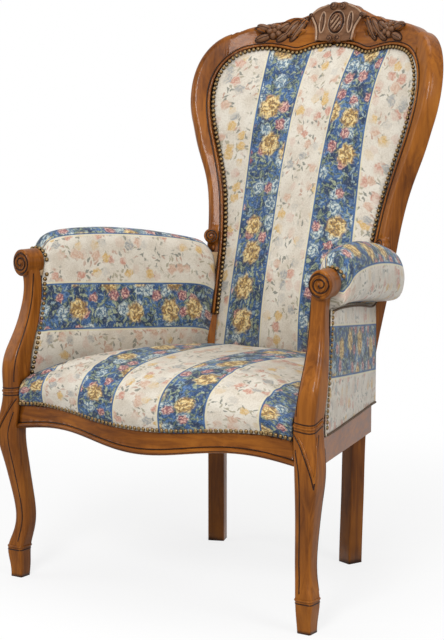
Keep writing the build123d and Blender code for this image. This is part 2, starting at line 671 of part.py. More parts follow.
def arm_rail(leg, post):
    """The wooden rail inside the right arm, coped to the scroll and to the rear post."""
    start = ARM_FRONT + ARM_OUT * ARM_RAIL_IN + UP * ARM_RAIL_Z_FRONT
    end = ARM_REAR + ARM_OUT * ARM_RAIL_IN + UP * ARM_RAIL_Z_REAR
    run = (end - start).normalized()
    plane = Plane(origin=start - run * ARM_RAIL_TALL / 2, x_dir=ARM_OUT, z_dir=run)
    bar = extrude(plane * Rectangle(ARM_RAIL_WIDE, ARM_RAIL_TALL), (end - start).length + ARM_RAIL_TALL)
    return largest(bar - [leg, post])


# Seat filling

SEAT_LEVELS = [
    # share of the crown, front inset, side inset, rear inset, corner radius
    (0.00, 0.0, 0.0, 0.0, 8.0),
    (0.22, -5.0, 0.0, 0.0, 10.0),
    (0.50, 6.0, 2.0, 8.0, 18.0),
    (0.76, 38.0, 30.0, 34.0, 36.0),
    (0.92, 92.0, 76.0, 76.0, 44.0),
    (1.00, 160.0, 124.0, 126.0, 40.0),
]


def seat_outline(plane, front, side, rear, radius):
    """Plan of the seat pad on a plane: serpentine front, sides along the arms, straight rear."""
    rear_y = SEAT_REAR_Y - rear
    front_y = FRONT_RAIL_Y + front + SEAT_CORNER

    def beside_arm(y):
        along = (y - ARM_FRONT.Y) / ARM_RUN.Y
        return ARM_FRONT.X + ARM_RUN.X * along - (side + CLEAR) / ARM_OUT.X

    half_front = min(beside_arm(front_y), FRONT_LEG_X)
    half_rear = beside_arm(rear_y)
    quarter = half_front / 2
    eased = (quarter + half_front) / 2
    swell = front_rail_face(quarter) + front
    crest_y = front_rail_face(0) + front
    ease_y = front_rail_face(eased) + front
    chain = [
        ((half_rear, rear_y), None),
        ((-half_rear, rear_y), None),
        ((-half_front, front_y), (-eased, ease_y)),
        ((-quarter, swell), (0, crest_y)),
        ((quarter, swell), (eased, ease_y)),
        ((half_front, front_y), None),
    ]
    flat = Sketch() + closed_face([(Vector(*c), Vector(*m) if m else None) for c, m in chain])
    sharp = [v for v in flat.vertices() if abs(v.X) > quarter + CLEAR]
    return plane * Pos(0, -FRONT_LEG_Y, 0) * fillet(sharp, radius)


def seat_pad():
    """The domed seat, lofted through plans that level out towards the crown."""
    sections = []
    for share, front, side, rear, radius in SEAT_LEVELS:
        plane = Plane(origin=(0, FRONT_LEG_Y, RAIL_TOP + share * SEAT_CROWN), x_dir=(1, 0, 0),
                      z_dir=(0, SEAT_RAKE * (1 - share), 1))
        sections.append(seat_outline(plane, front, side, rear, radius))
    return loft(sections)


def seat_box(x0, x1, v0, v1, w0, w1):
    """A box in the raked frame of the seat: across, back from the front feet, and up from the rail tops."""
    return SEAT * slab(x0, x1, v0, v1, w0, w1)


def seat_webbing(end_rails, side_rails, posts):
    """Straps front to back, and straps across below them, each cut to the rails that hold it."""
    straps = []
    for i in range(-2, 3):
        x = i * SPRING_PITCH_X / 2
        front_v = front_rail_face(abs(x) - WEB_WIDE / 2) + RAIL_THICK / 2 - FRONT_LEG_Y
        rear_v = rear_rail_middle(x) - FRONT_LEG_Y
        strap = seat_box(x - WEB_WIDE / 2, x + WEB_WIDE / 2, front_v, rear_v,
                         -WEB_DEPTH - WEB_THICK, -WEB_DEPTH)
        straps.append(largest(strap - end_rails - posts))
    for j in range(CROSS_STRAPS):
        v = SPRING_FIRST_Y + j * SPRING_PITCH_Y / 2
        reach = side_rail_middle(FRONT_LEG_Y + v)
        strap = seat_box(-reach, reach, v - WEB_WIDE / 2, v + WEB_WIDE / 2,
                         -WEB_DEPTH - 2 * WEB_THICK, -WEB_DEPTH - WEB_THICK)
        straps.append(largest(strap - side_rails))
    return straps


def dust_cover(end_rails):
    """The thin black cloth under the webbing, between the side rails and clear of the legs."""
    top = -WEB_DEPTH - 2 * WEB_THICK
    front_y = front_rail_face(0) + RAIL_THICK / 2
    rear_y = rear_rail_middle(0)
    leg_side = FRONT_LEG_X - LEG_ROOM
    post_side = REAR_LEG_X - LEG_ROOM
    half = [(leg_side, front_y), (leg_side, FRONT_LEG_Y + LEG_ROOM)]
    for y in (FRONT_LEG_Y + LEG_ROOM, REAR_LEG_Y - LEG_ROOM):
        half.append((side_rail_middle(y) - RAIL_THICK / 2 / SIDE_OUT.X - CLEAR, y))
    half += [(post_side, REAR_LEG_Y - LEG_ROOM), (post_side, rear_y)]
    outline = half + [(-x, y) for x, y in reversed(half)]
    plan = closed_face([(Vector(x, y - FRONT_LEG_Y, 0), None) for x, y in outline])
    sheet = SEAT * Pos(0, 0, top - DUST_THICK) * extrude(plan, DUST_THICK, dir=UP)
    return largest(sheet - end_rails)


def biarc(start, start_way, end, end_way):
    """Two arcs that leave one point and reach another in given directions."""
    chord = end - start
    ways = start_way + end_way
    spread = 2 * (1 - start_way.dot(end_way))
    reach = (sqrt(chord.dot(ways) ** 2 + spread * chord.dot(chord)) - chord.dot(ways)) / spread
    meet = (start + end + (start_way - end_way) * reach) * 0.5
    first = Edge.make_tangent_arc(start, start_way, meet)
    return [first, Edge.make_tangent_arc(meet, first % 1, end)]


def spring_line(turn):
    """Middle of the spring's wire after some turns, hourglass in shape with its ends drawn flat."""
    share = turn / SPRING_TURNS
    radius = SPRING_WAIST_R + (SPRING_END_R - SPRING_WAIST_R) * (2 * share - 1) ** 2
    rise = share * share * (3 - 2 * share) * (SPRING_TOP + WEB_DEPTH - SPRING_WIRE)
    angle = 2 * pi * turn
    return Vector(radius * cos(angle), radius * sin(angle), rise + SPRING_WIRE / 2)


def spring():
    """One coil spring standing on its webbing, swept along quarter-turn biarcs."""
    nudge = 1e-4
    quarters = [i / 4 for i in range(4 * SPRING_TURNS + 1)]
    places = [spring_line(t) for t in quarters]
    ways = [(spring_line(t + nudge) - spring_line(t - nudge)).normalized() for t in quarters]
    edges = []
    for i in range(len(quarters) - 1):
        edges += biarc(places[i], ways[i], places[i + 1], ways[i + 1])
    path = Wire(edges)
    samples = [spring_line(i / TURN_SAMPLES) for i in range(TURN_SAMPLES * SPRING_TURNS + 1)]
    far = TURN_SAMPLES // 2
    least = min((a - b).length for i, a in enumerate(samples) for b in samples[i + far:]) - SPRING_WIRE
    print(f"spring: least gap to itself {least:.2f} mm")
    ring = Plane(origin=path @ 0, z_dir=path % 0) * Circle(SPRING_WIRE / 2)
    return sweep(ring, path)


def seat_springs():
    """Nine springs in three rows."""
    coil = spring()
    coils = []
    for i in range(-1, 2):
        for j in range(3):
            place = Pos(i * SPRING_PITCH_X, SPRING_FIRST_Y + j * SPRING_PITCH_Y, -WEB_DEPTH)
            coils.append(SEAT * place * coil)
    return coils


def spring_room(low, high):
    """The flat-topped room for the springs inside the seat, between two heights over the rail tops."""
    front_v = SPRING_FIRST_Y - SPRING_END_R - SPRING_MARGIN
    rear_v = SPRING_FIRST_Y + 2 * SPRING_PITCH_Y + SPRING_END_R + SPRING_MARGIN
    half = SPRING_PITCH_X + SPRING_END_R + SPRING_MARGIN
    return seat_box(-half, half, front_v, rear_v, low, high)


# Back filling

# Height, crown in front of the frame's face
BACK_TABLE = [
    (412.0, 46.0),
    (480.0, 62.0),
    (560.0, 66.0),
    (670.0, 62.0),
    (760.0, 57.0),
    (850.0, 48.0),
    (930.0, 38.0),
    (985.0, 24.0),
    (1012.0, 8.0),
    (1038.0, -6.0),
]
BACK_SECTIONS = 11


def back_section(z, half, crown, edge_in, deep):
    """A level section of the back's filling: crowned in front, round behind."""
    middle = BACK_Y0 + BACK_LEAN * z
    edge = middle - barrel_drop(half)
    return closed_face([
        (Vector(-half, edge + edge_in, z), Vector(0, middle - crown, z)),
        (Vector(half, edge + edge_in, z), None),
        (Vector(half, edge + deep, z), Vector(0, middle + deep, z)),
        (Vector(-half, edge + deep, z), None),
    ])


def back_pad(wood):
    """The crowned back, lofted level by level between the stiles and cut to the crest and rails."""
    low, high = BACK_TABLE[0][0], BACK_TABLE[-1][0]
    inner_edge = stile_inner_edge()
    sections = []
    for i in range(BACK_SECTIONS + 1):
        z = low + (high - low) * i / BACK_SECTIONS
        crown, = smooth(BACK_TABLE, z)
        half = smooth(inner_edge, z)[0] - 2 * CURVE_CLEAR
        sections.append(back_section(z, half, crown, BACK_EDGE_IN, BACK_DEEP))
    return largest(loft(sections) - wood)


def back_webbing(crest, lower):
    """Straps across the back between the stiles, and upright straps behind them."""
    inner_edge = stile_inner_edge()
    straps = []
    for i in range(BACK_STRAPS):
        low = BACK_STRAP_LOW + i * BACK_STRAP_PITCH
        half = min(smooth(inner_edge, low)[0], smooth(inner_edge, low + WEB_WIDE)[0])
        band = barrel_shell(BACK_DEEP, BACK_DEEP + WEB_THICK, low, low + WEB_WIDE)
        straps.append(largest(band & slab(-half, half, 0, BARREL_R, 0, CREST_TOP)))
    ring = barrel_shell(BACK_DEEP + WEB_THICK, BACK_DEEP + 2 * WEB_THICK, LOWER_RAIL_Z, CREST_TOP)
    for i in (-1, 0, 1):
        x = i * SPRING_PITCH_X
        upright = ring & slab(x - WEB_WIDE / 2, x + WEB_WIDE / 2, 0, BARREL_R, 0, CREST_TOP)
        straps.append(largest(upright - [lower, crest]))
    return straps


def outside_back_panel():
    """The thin covered panel behind the back, from the rear rail to the crest."""
    foot_level = back_normal(REAR_LEG_X)
    behind = FRAME_DEEP / 2
    table = []
    for height, out, back in REAR_LEG_BENDS:
        face = Vector(REAR_LEG_X + out, REAR_LEG_Y + back, height) + foot_level * behind
        table.append((face.Z, face.X, face.Y))
    for x, height in STILE_BENDS:
        face = back_point(x, height) + surface_normal(x) * FRAME_DEEP
        table.append((face.Z, face.X, face.Y))
    face = JOINT_PLANE.origin + surface_normal(CREST_JOINT_X) * behind
    table.append((face.Z, face.X, face.Y))
    low = rail_top(REAR_RAIL_Y) - REAR_RAIL_TALL / 2
    high = table[-1][0]
    sections = []
    for i in range(BACK_SECTIONS + 1):
        z = low + (high - low) * i / BACK_SECTIONS
        x, y = smooth(table, z)
        inner = y + CURVE_CLEAR
        outer = inner + OUTSIDE_THICK
        bow = barrel_drop(x)
        sections.append(closed_face([
            (Vector(-x, inner, z), Vector(0, inner + bow, z)),
            (Vector(x, inner, z), None),
            (Vector(x, outer, z), Vector(0, outer + bow, z)),
            (Vector(-x, outer, z), None),
        ]))
    return loft(sections)


# Joints


def pair(place, way, spacing):
    """Two dowels side by side, each half in one of the two pieces they join."""
    pins = []
    for side in (-1, 1):
        axis = Plane(origin=place + spacing * (side / 2), z_dir=way)
        pins.append(axis * Cylinder(DOWEL_D / 2, DOWEL_LONG))
    return pins


def seat_dowels():
    """Dowels of the right half of the seat frame, set at staggered heights so that they pass each other."""
    leg_top = rail_top(FRONT_LEG_Y)
    front_joint = Vector(FRONT_LEG_X - DOWEL_LONG / 2, FRONT_RAIL_Y + RAIL_THICK / 2, leg_top - DOWEL_DROP)
    pins = pair(front_joint, Vector(1, 0, 0), UP * DOWEL_PITCH)
    middle_line = SIDE_FACE_FRONT - SIDE_OUT * (RAIL_THICK / 2)
    stagger = DOWEL_DROP + DOWEL_PITCH / 2
    side_front = middle_line + SIDE_RUN * (DOWEL_LONG / 2) + UP * (leg_top - stagger)
    pins += pair(side_front, SIDE_RUN, UP * DOWEL_PITCH)
    side_rear = SIDE_FACE_REAR - SIDE_OUT * (RAIL_THICK / 2) - SIDE_RUN * (REAR_LEG_WIDE / 4)
    pins += pair(side_rear + UP * (rail_top(REAR_LEG_Y) - stagger), SIDE_RUN, UP * DOWEL_PITCH)
    rear_x = REAR_LEG_X - REAR_LEG_WIDE / 3
    rear_joint = Vector(rear_x, rear_rail_middle(rear_x), rail_top(REAR_RAIL_Y) - DOWEL_DROP)
    level = back_normal(rear_x)
    return pins + pair(rear_joint, Vector(level.Y, -level.X, 0), UP * DOWEL_PITCH)


def back_dowels():
    """Dowels of the right half of the back frame: crest to stile, and lower rail to stile."""
    pins = pair(JOINT_PLANE.origin, JOINT_PLANE.z_dir, JOINT_PLANE.x_dir * CREST_DOWEL_PITCH)
    x = LOWER_RAIL_HALF - REAR_LEG_WIDE / 2
    level = back_normal(x)
    lower_joint = back_point(x, LOWER_RAIL_Z, (LOWER_RAIL_IN + FRAME_DEEP) / 2)
    return pins + pair(lower_joint, Vector(level.Y, -level.X, 0), UP * DOWEL_PITCH)


def arm_dowels():
    """One dowel at each end of the right arm rail."""
    start = ARM_FRONT + ARM_OUT * ARM_RAIL_IN + UP * ARM_RAIL_Z_FRONT
    end = ARM_REAR + ARM_OUT * ARM_RAIL_IN + UP * ARM_RAIL_Z_REAR
    way = (end - start).normalized()
    pins = []
    for place in (start, end):
        pins.append(Plane(origin=place, z_dir=way) * Cylinder(DOWEL_D / 2, DOWEL_LONG))
    return pins


def mirrored(solids):
    """A list of solids and their mirror images."""
    return solids + [mirror(s, about=Plane.YZ) for s in solids]


def build():
    """Every piece of the chair by its name."""
    seat_pins, back_pins, arm_pins = seat_dowels(), back_dowels(), arm_dowels()
    leg = front_leg()
    post = rear_post()
    post_left = mirror(post, about=Plane.YZ)
    leg_left = mirror(leg, about=Plane.YZ)
    crest = crest_rail()
    lower = lower_back_rail([post, post_left])
    front_rail = front_seat_rail([leg, leg_left])
    side_rail = side_seat_rail(leg, post)
    side_rail_left = mirror(side_rail, about=Plane.YZ)
    rear_rail = rear_seat_rail([post, post_left])
    rail_arm = arm_rail(leg, post)
    room = arm_post_room()
    front_room = post_front_room()
    pad_arm = arm_pad(room + [front_room, post, rail_arm])
    panel_arm = outside_arm_panel([front_room, post])
    pad_arm_left = mirror(pad_arm, about=Plane.YZ)
    seat = seat_pad() - spring_room(-RAIL_THICK, SPRING_TOP + CANVAS_THICK) - mirrored(room)
    sides = [side_rail, side_rail_left]
    ends = [front_rail, rear_rail]
    posts = [post, post_left]
    front_pins, side_pins, rear_pins = seat_pins[:2], seat_pins[2:6], seat_pins[6:]
    crest_pins, lower_pins = back_pins[:2], back_pins[2:]
    pieces = {
        "crest_rail": crest - mirrored(crest_pins),
        "front_seat_rail": front_rail - mirrored(front_pins),
        "rear_seat_rail": rear_rail - mirrored(rear_pins),
        "lower_back_rail": lower - mirrored(lower_pins),
        "seat_pad": seat,
        "spring_canvas": spring_room(SPRING_TOP, SPRING_TOP + CANVAS_THICK),
        "seat_springs": Compound(children=seat_springs()),
        "seat_webbing": Compound(children=seat_webbing(ends, sides, posts)),
        "dust_cover": dust_cover(ends),
        "back_pad": back_pad([crest, lower, pad_arm, pad_arm_left]),
        "back_webbing": Compound(children=back_webbing(crest, lower)),
        "outside_back_panel": outside_back_panel(),
        "seat_rail_dowels": Compound(children=mirrored(seat_pins)),
        "back_frame_dowels": Compound(children=mirrored(back_pins)),
        "arm_rail_dowels": Compound(children=mirrored(arm_pins)),
    }
    right = {
        "front_leg": leg - front_pins - side_pins[:2] - arm_pins[:1],
        "rear_post": post - side_pins[2:] - rear_pins - back_pins - arm_pins[1:],
        "side_seat_rail": side_rail - side_pins,
        "arm_rail": rail_arm - arm_pins,
        "arm_pad": pad_arm,
        "outside_arm_panel": panel_arm,
        "front_corner_block": corner_block(front_block_corners(), [front_rail, side_rail]),
        "rear_corner_block": corner_block(rear_block_corners(), [rear_rail, side_rail]),
    }
    for name, piece in right.items():
        pieces[name + "_right"] = piece
        pieces[name + "_left"] = mirror(piece, about=Plane.YZ)
    return pieces


os.makedirs("parts", exist_ok=True)
for name, piece in build().items():
    print(f"{name}: {len(piece.solids())} solids, {piece.volume / 1000:.1f} cm3")
    export_step(piece, f"parts/{name}.step")
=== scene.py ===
# %% [markdown]
# # A carved armchair in a striped floral cover
# The frame of this chair comes from its CAD model: every rail, leg and spring is already in place, in
# metres. This lesson dresses it. The show wood gets smooth shading, grain and carving, the stuffed parts
# get a cloth that follows their crowns, and rows of brass nails hold that cloth to the wood.

import math

import bmesh
import bpy
from mathutils import Matrix, Vector
from mathutils.bvhtree import BVHTree


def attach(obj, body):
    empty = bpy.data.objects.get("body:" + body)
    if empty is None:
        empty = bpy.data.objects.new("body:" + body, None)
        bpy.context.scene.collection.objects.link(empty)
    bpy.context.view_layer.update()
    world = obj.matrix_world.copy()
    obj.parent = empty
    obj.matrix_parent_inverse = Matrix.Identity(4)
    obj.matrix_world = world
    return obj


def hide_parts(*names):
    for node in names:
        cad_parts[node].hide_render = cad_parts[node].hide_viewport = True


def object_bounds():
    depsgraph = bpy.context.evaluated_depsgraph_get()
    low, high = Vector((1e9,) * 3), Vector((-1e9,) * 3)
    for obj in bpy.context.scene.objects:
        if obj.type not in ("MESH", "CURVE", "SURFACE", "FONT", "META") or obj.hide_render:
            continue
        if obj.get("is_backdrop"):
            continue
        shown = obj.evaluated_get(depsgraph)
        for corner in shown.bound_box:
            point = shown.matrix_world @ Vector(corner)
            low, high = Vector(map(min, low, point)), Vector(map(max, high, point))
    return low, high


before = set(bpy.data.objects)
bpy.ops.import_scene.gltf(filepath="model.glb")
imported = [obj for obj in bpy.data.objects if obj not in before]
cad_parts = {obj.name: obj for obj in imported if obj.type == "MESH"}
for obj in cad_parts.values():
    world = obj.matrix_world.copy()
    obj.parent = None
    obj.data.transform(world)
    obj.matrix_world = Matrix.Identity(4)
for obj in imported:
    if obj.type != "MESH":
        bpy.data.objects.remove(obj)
cad_box = [[round(value, 4) for value in corner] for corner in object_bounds()]
print("CAD nodes:", len(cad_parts), "box:", cad_box)

# %% [markdown]
# ## Camera
# The camera stands where the chair was seen from: in front and to the right, a little under a metre up,
# with a long lens. Setting it first lets every later step be compared with the real chair.

# %% Camera
CAMERA_AT = Vector((1.8639, -2.8880, 0.9590))
CAMERA_TURN = math.radians(33.738)
CAMERA_TILT = math.radians(7.722)
CAMERA_LENS = 99.13
SENSOR_WIDE = 36.0

looking = Vector((-math.sin(CAMERA_TURN) * math.cos(CAMERA_TILT),
                  math.cos(CAMERA_TURN) * math.cos(CAMERA_TILT), -math.sin(CAMERA_TILT)))
camera_data = bpy.data.cameras.new("camera")
camera_data.lens = CAMERA_LENS
camera_data.sensor_width = SENSOR_WIDE
camera = bpy.data.objects.new("camera", camera_data)
camera.location = CAMERA_AT
camera.rotation_euler = looking.to_track_quat("-Z", "Y").to_euler()
bpy.context.scene.collection.objects.link(camera)
bpy.context.scene.camera = camera
bpy.context.scene.view_settings.view_transform = "Standard"
print("camera", tuple(round(v, 3) for v in camera.location))

# %% [markdown]
# ## A small kit for shader sums
# A cloth pattern is mostly arithmetic. `Num` wraps a number socket, so that `1 - mask` adds a Math node
# by itself, and `Finish` holds one material and adds any other node with its settings and sockets.

# %% Shader kit


class Num:
    """A number in a material that takes part in Python sums."""

    def __init__(self, finish, socket):
        self.finish = finish
        self.socket = socket

    def math(self, operation, *others):
        """This number and others in a Math node."""
        node = self.finish.tree.nodes.new("ShaderNodeMath")
        node.operation = operation
        for place, value in zip(node.inputs, (self, *others)):
            self.finish.feed(place, value)
        return Num(self.finish, node.outputs[0])

    def reflected(self, operation, other):
        """A Math node in which this number comes second."""
        node = self.finish.tree.nodes.new("ShaderNodeMath")
        node.operation = operation
        self.finish.feed(node.inputs[0], other)
        self.finish.feed(node.inputs[1], self)
        return Num(self.finish, node.outputs[0])

    def __add__(self, other):
        return self.math("ADD", other)

    def __radd__(self, other):
        return self.math("ADD", other)

    def __sub__(self, other):
        return self.math("SUBTRACT", other)

    def __rsub__(self, other):
        return self.reflected("SUBTRACT", other)

    def __mul__(self, other):
        return self.math("MULTIPLY", other)

    def __rmul__(self, other):
        return self.math("MULTIPLY", other)

    def __truediv__(self, other):
        return self.math("DIVIDE", other)

    def __lt__(self, other):
        return self.math("LESS_THAN", other)

    def __gt__(self, other):
        return self.math("GREATER_THAN", other)

    def __abs__(self):
        return self.math("ABSOLUTE")

    def ramp_up(self, low, high):
        """0 below low, 1 above high and smooth between them."""
        node = self.finish.node("ShaderNodeMapRange", {"interpolation_type": "SMOOTHSTEP"},
                                {"Value": self, "From Min": low, "From Max": high})
        return Num(self.finish, node.outputs[0])


class Finish:
    """One material with its shader and the nodes that feed it."""

    def __init__(self, name, **constants):
        self.material = bpy.data.materials.new(name)
        self.material.use_nodes = True
        self.tree = self.material.node_tree
        self.shader = next(n for n in self.tree.nodes if n.type == "BSDF_PRINCIPLED")
        for socket, value in constants.items():
            self.shader.inputs[socket.replace("_", " ")].default_value = value

    def feed(self, socket, value):
        """Links a socket or a Num, or sets a plain value."""
        if isinstance(value, Num):
            value = value.socket
        if isinstance(value, bpy.types.NodeSocket):
            self.tree.links.new(value, socket)
        else:
            socket.default_value = value

    def node(self, kind, settings=None, sockets=None):
        """A new node with its settings, and with its sockets fed."""
        node = self.tree.nodes.new(kind)
        for key, value in (settings or {}).items():
            if key == "stops":
                ramp = node.color_ramp
                while len(ramp.elements) < len(value):
                    ramp.elements.new(0.5)
                for element, (place, colour) in zip(ramp.elements, value):
                    element.position = place
                    element.color = (*colour, 1.0)
            elif key == "blend":
                node.color_ramp.interpolation = value
            else:
                setattr(node, key, value)
        for key, value in (sockets or {}).items():
            self.feed(node.inputs[key], value)
        return node

    def num(self, node, output):
        """One output of a node as a number."""
        return Num(self, node.outputs[output])

    def ramp(self, value, stops, blend="LINEAR"):
        """A colour read from stops at a value."""
        node = self.node("ShaderNodeValToRGB", {"blend": blend, "stops": stops}, {"Fac": value})
        return node.outputs["Color"]

    def mix(self, mask, under, over):
        """Colour under where the mask is 0, colour over where it is 1."""
        node = self.node("ShaderNodeMix", {"data_type": "RGBA"}, {"Factor": mask})
        sockets = [s for s in node.inputs if s.type == "RGBA"]
        for socket, value in zip(sockets, (under, over)):
            if isinstance(value, tuple):
                socket.default_value = (*value, 1.0)
            else:
                self.feed(socket, value)
        return next(s for s in node.outputs if s.type == "RGBA")

    def shade(self, **sockets):
        """Feeds the shader, by the names of its sockets."""
        for key, value in sockets.items():
            self.feed(self.shader.inputs[key.replace("_", " ")], value)

    def bump(self, height, strength, distance):
        """Gives the shader a relief."""
        node = self.node("ShaderNodeBump", {},
                         {"Height": height, "Strength": strength, "Distance": distance})
        self.feed(self.shader.inputs["Normal"], node.outputs["Normal"])


print("shader kit ready")

# %% [markdown]
# ## Floor and light
# The floor is one pale sheet. Light comes from big soft panels, as in a studio, so no highlight is hard.
# The camera and mirror rays see the floor as white paper with a faint shadow, while diffuse light meets a
# grey board, so the white background adds no light to the chair.

# %% Floor and lamps
FLOOR_SIZE = 14.0
FLOOR_GLOW = 0.80
GLOW_RISE = (0.5, 1.5)
BOARD = (0.46, 0.45, 0.44)
PAPER = (0.95, 0.95, 0.95)
WORLD_LIGHT = 0.26
LAMP_AIM = Vector((0.0, 0.0, 0.55))
# Name, place, size and watts of each lamp
LAMPS = [
    ("key_panel", (0.9, -3.0, 2.5), 1.1, 78.0),
    ("fill_panel", (-2.6, -1.7, 1.7), 1.6, 18.0),
    ("side_panel", (2.7, -0.7, 1.9), 1.2, 30.0),
    ("top_panel", (0.0, 0.3, 3.4), 1.8, 30.0),
]

floor_finish = Finish("pale_floor", Roughness=0.8)
floor_rays = floor_finish.node("ShaderNodeLightPath")
seen = floor_finish.num(floor_rays, "Is Camera Ray")
for ray in ("Is Glossy Ray", "Is Transmission Ray"):
    seen = seen.math("MAXIMUM", floor_finish.num(floor_rays, ray))
floor_finish.shade(Base_Color=floor_finish.mix(seen, BOARD, PAPER))
paper = floor_finish.node("ShaderNodeEmission", {}, {"Color": (1.0, 1.0, 1.0, 1.0), "Strength": 1.0})
spread = floor_finish.node("ShaderNodeVectorMath", {"operation": "LENGTH"},
                           {0: floor_finish.node("ShaderNodeTexCoord").outputs["Object"]})
glow = FLOOR_GLOW + floor_finish.num(spread, "Value").ramp_up(*GLOW_RISE) * (1 - FLOOR_GLOW)
blend = floor_finish.node("ShaderNodeMixShader", {}, {0: seen * glow, 1: floor_finish.shader.outputs[0],
                                                      2: paper.outputs[0]})
surface = next(n for n in floor_finish.tree.nodes if n.type == "OUTPUT_MATERIAL")
floor_finish.tree.links.new(blend.outputs[0], surface.inputs["Surface"])
floor_mesh = bpy.data.meshes.new("floor")
floor_shape = bmesh.new()
bmesh.ops.create_grid(floor_shape, x_segments=1, y_segments=1, size=FLOOR_SIZE)
floor_shape.to_mesh(floor_mesh)
floor_shape.free()
floor_mesh.materials.append(floor_finish.material)
floor = bpy.data.objects.new("floor", floor_mesh)
bpy.context.scene.collection.objects.link(floor)
floor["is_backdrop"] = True

for lamp_name, place, size, watts in LAMPS:
    lamp_data = bpy.data.lights.new(lamp_name, "AREA")
    lamp_data.shape = "DISK"
    lamp_data.size = size
    lamp_data.energy = watts
    lamp = bpy.data.objects.new(lamp_name, lamp_data)
    lamp.location = place
    lamp.rotation_euler = (LAMP_AIM - Vector(place)).to_track_quat("-Z", "Y").to_euler()
    bpy.context.scene.collection.objects.link(lamp)

world = bpy.data.worlds.new("studio")
bpy.context.scene.world = world
world.use_nodes = True
sky = world.node_tree
backdrop = next(n for n in sky.nodes if n.type == "BACKGROUND")
backdrop.inputs["Color"].default_value = (1.0, 1.0, 1.0, 1.0)
sky_rays = sky.nodes.new("ShaderNodeLightPath")
seen_sky = sky_rays.outputs["Is Camera Ray"]
for ray in ("Is Glossy Ray", "Is Transmission Ray"):
    either = sky.nodes.new("ShaderNodeMath")
    either.operation = "MAXIMUM"
    sky.links.new(seen_sky, either.inputs[0])
    sky.links.new(sky_rays.outputs[ray], either.inputs[1])
    seen_sky = either.outputs[0]
bright = sky.nodes.new("ShaderNodeMix")
bright.inputs["A"].default_value = WORLD_LIGHT
bright.inputs["B"].default_value = 1.0
sky.links.new(seen_sky, bright.inputs["Factor"])
sky.links.new(bright.outputs["Result"], backdrop.inputs["Strength"])
print("lamps:", len(LAMPS))

# %% [markdown]
# ## Wood
# The show wood is a polished reddish walnut stain over beech. Grain runs along each stick, so there is
# one finish for upright pieces, one for pieces that lie across and one for the side rails. Every crevice
# is darkened where ambient occlusion finds it, from any side: partly the dark glaze a maker wipes in and
# partly painted shade. The cut lines of the carving get that dark tone pure, as painted shade of their
# grooves.

# %% Wood finishes
# Crevice darkening from ambient occlusion: partly the real glaze, partly painted shade
CREVICE = 0.012
CREVICE_OPEN = (0.28, 0.84)
GLAZE_AND_SHADE_TONE = (0.028, 0.009, 0.004)
FIBRE_SHARE = 0.58


def wood_finish(name, stretch, stops, glaze_and_shade, polish):
    """A polished wood with its grain drawn out along one axis."""
    wood = Finish(name, Coat_Roughness=0.10, Specular_IOR_Level=0.10)
    place = wood.node("ShaderNodeTexCoord").outputs["Object"]
    grown = wood.node("ShaderNodeMapping", {}, {"Vector": place, "Scale": stretch}).outputs["Vector"]
    fibre = wood.node("ShaderNodeTexNoise", {}, {"Vector": grown, "Scale": 1.0, "Detail": 6.0,
                                                  "Roughness": 0.62, "Distortion": 0.6})
    cloud = wood.node("ShaderNodeTexNoise", {}, {"Vector": place, "Scale": 7.0, "Detail": 2.0})
    tone = wood.num(fibre, "Fac") * FIBRE_SHARE + wood.num(cloud, "Fac") * (1 - FIBRE_SHARE)
    colour = wood.ramp(tone, stops)
    # Painted shade: ambient occlusion pulls crevices and joins towards a dark tone, over the real glaze
    hollow = wood.node("ShaderNodeAmbientOcclusion", {"samples": 6, "only_local": False},
                       {"Distance": CREVICE})
    open_air = wood.num(hollow, "AO").ramp_up(*CREVICE_OPEN)
    glazed_and_shaded = wood.mix(1 - (1 - open_air) * glaze_and_shade, GLAZE_AND_SHADE_TONE, colour)
    rough = 0.30 + wood.num(fibre, "Fac") * 0.16
    wood.shade(Base_Color=glazed_and_shaded, Roughness=rough, Coat_Weight=open_air * polish)
    wood.bump(wood.num(fibre, "Fac"), 0.08, 0.002)
    return wood.material


WALNUT = [(0.32, (0.092, 0.025, 0.003)), (0.46, (0.198, 0.060, 0.007)), (0.58, (0.300, 0.098, 0.011)),
          (0.76, (0.390, 0.144, 0.020))]
CARVED = [(0.32, (0.085, 0.036, 0.015)), (0.46, (0.160, 0.074, 0.035)), (0.58, (0.220, 0.108, 0.054)),
          (0.76, (0.290, 0.150, 0.080))]
RUBBED_AND_HIGHLIT = [(0.35, (0.28, 0.165, 0.100)), (0.50, (0.40, 0.255, 0.165)), (0.70, (0.52, 0.350, 0.240))]
GLAZE_AND_GROOVE_SHADE = [(0.35, (0.016, 0.006, 0.003)), (0.65, (0.045, 0.015, 0.006))]
BEECH = [(0.30, (0.34, 0.21, 0.11)), (0.50, (0.50, 0.34, 0.19)), (0.75, (0.60, 0.44, 0.27))]
upright_wood = wood_finish("walnut_upright", (95.0, 95.0, 7.0), WALNUT, 0.9, 0.14)
across_wood = wood_finish("walnut_across", (7.0, 95.0, 95.0), WALNUT, 0.9, 0.12)
along_wood = wood_finish("walnut_along", (95.0, 7.0, 95.0), WALNUT, 0.9, 0.06)
carved_wood = wood_finish("walnut_carved", (40.0, 95.0, 95.0), CARVED, 0.95, 0.18)
# Pale rims: partly rubbed wear, partly a painted highlight on the raised edges
rubbed_and_highlit_wood = wood_finish("walnut_rubbed_and_highlit", (60.0, 60.0, 60.0), RUBBED_AND_HIGHLIT, 0.6, 0.12)
# Dark bars of the cut lines: painted shade of the grooves, over the real glaze in them
glaze_and_groove_shade = wood_finish("walnut_glaze_and_groove_shade", (60.0, 60.0, 60.0), GLAZE_AND_GROOVE_SHADE, 0.5, 0.1)
bare_wood = wood_finish("bare_beech", (90.0, 12.0, 90.0), BEECH, 0.4, 0.0)
print("wood finishes: 7")

# %% [markdown]
# ## Sticks of the frame
# Each stick is a copy of its CAD node. The loose triangles are merged first, so that smooth shading runs
# over the curves and stops at the arrises. The rails inside the upholstery get bare beech.

# %% Show wood
SMOOTH_ANGLE = math.radians(32.0)
LOOSE = 2e-5
HIDDEN_WOOD = ("lower_back", "arm_rail_", "front_corner", "rear_corner")


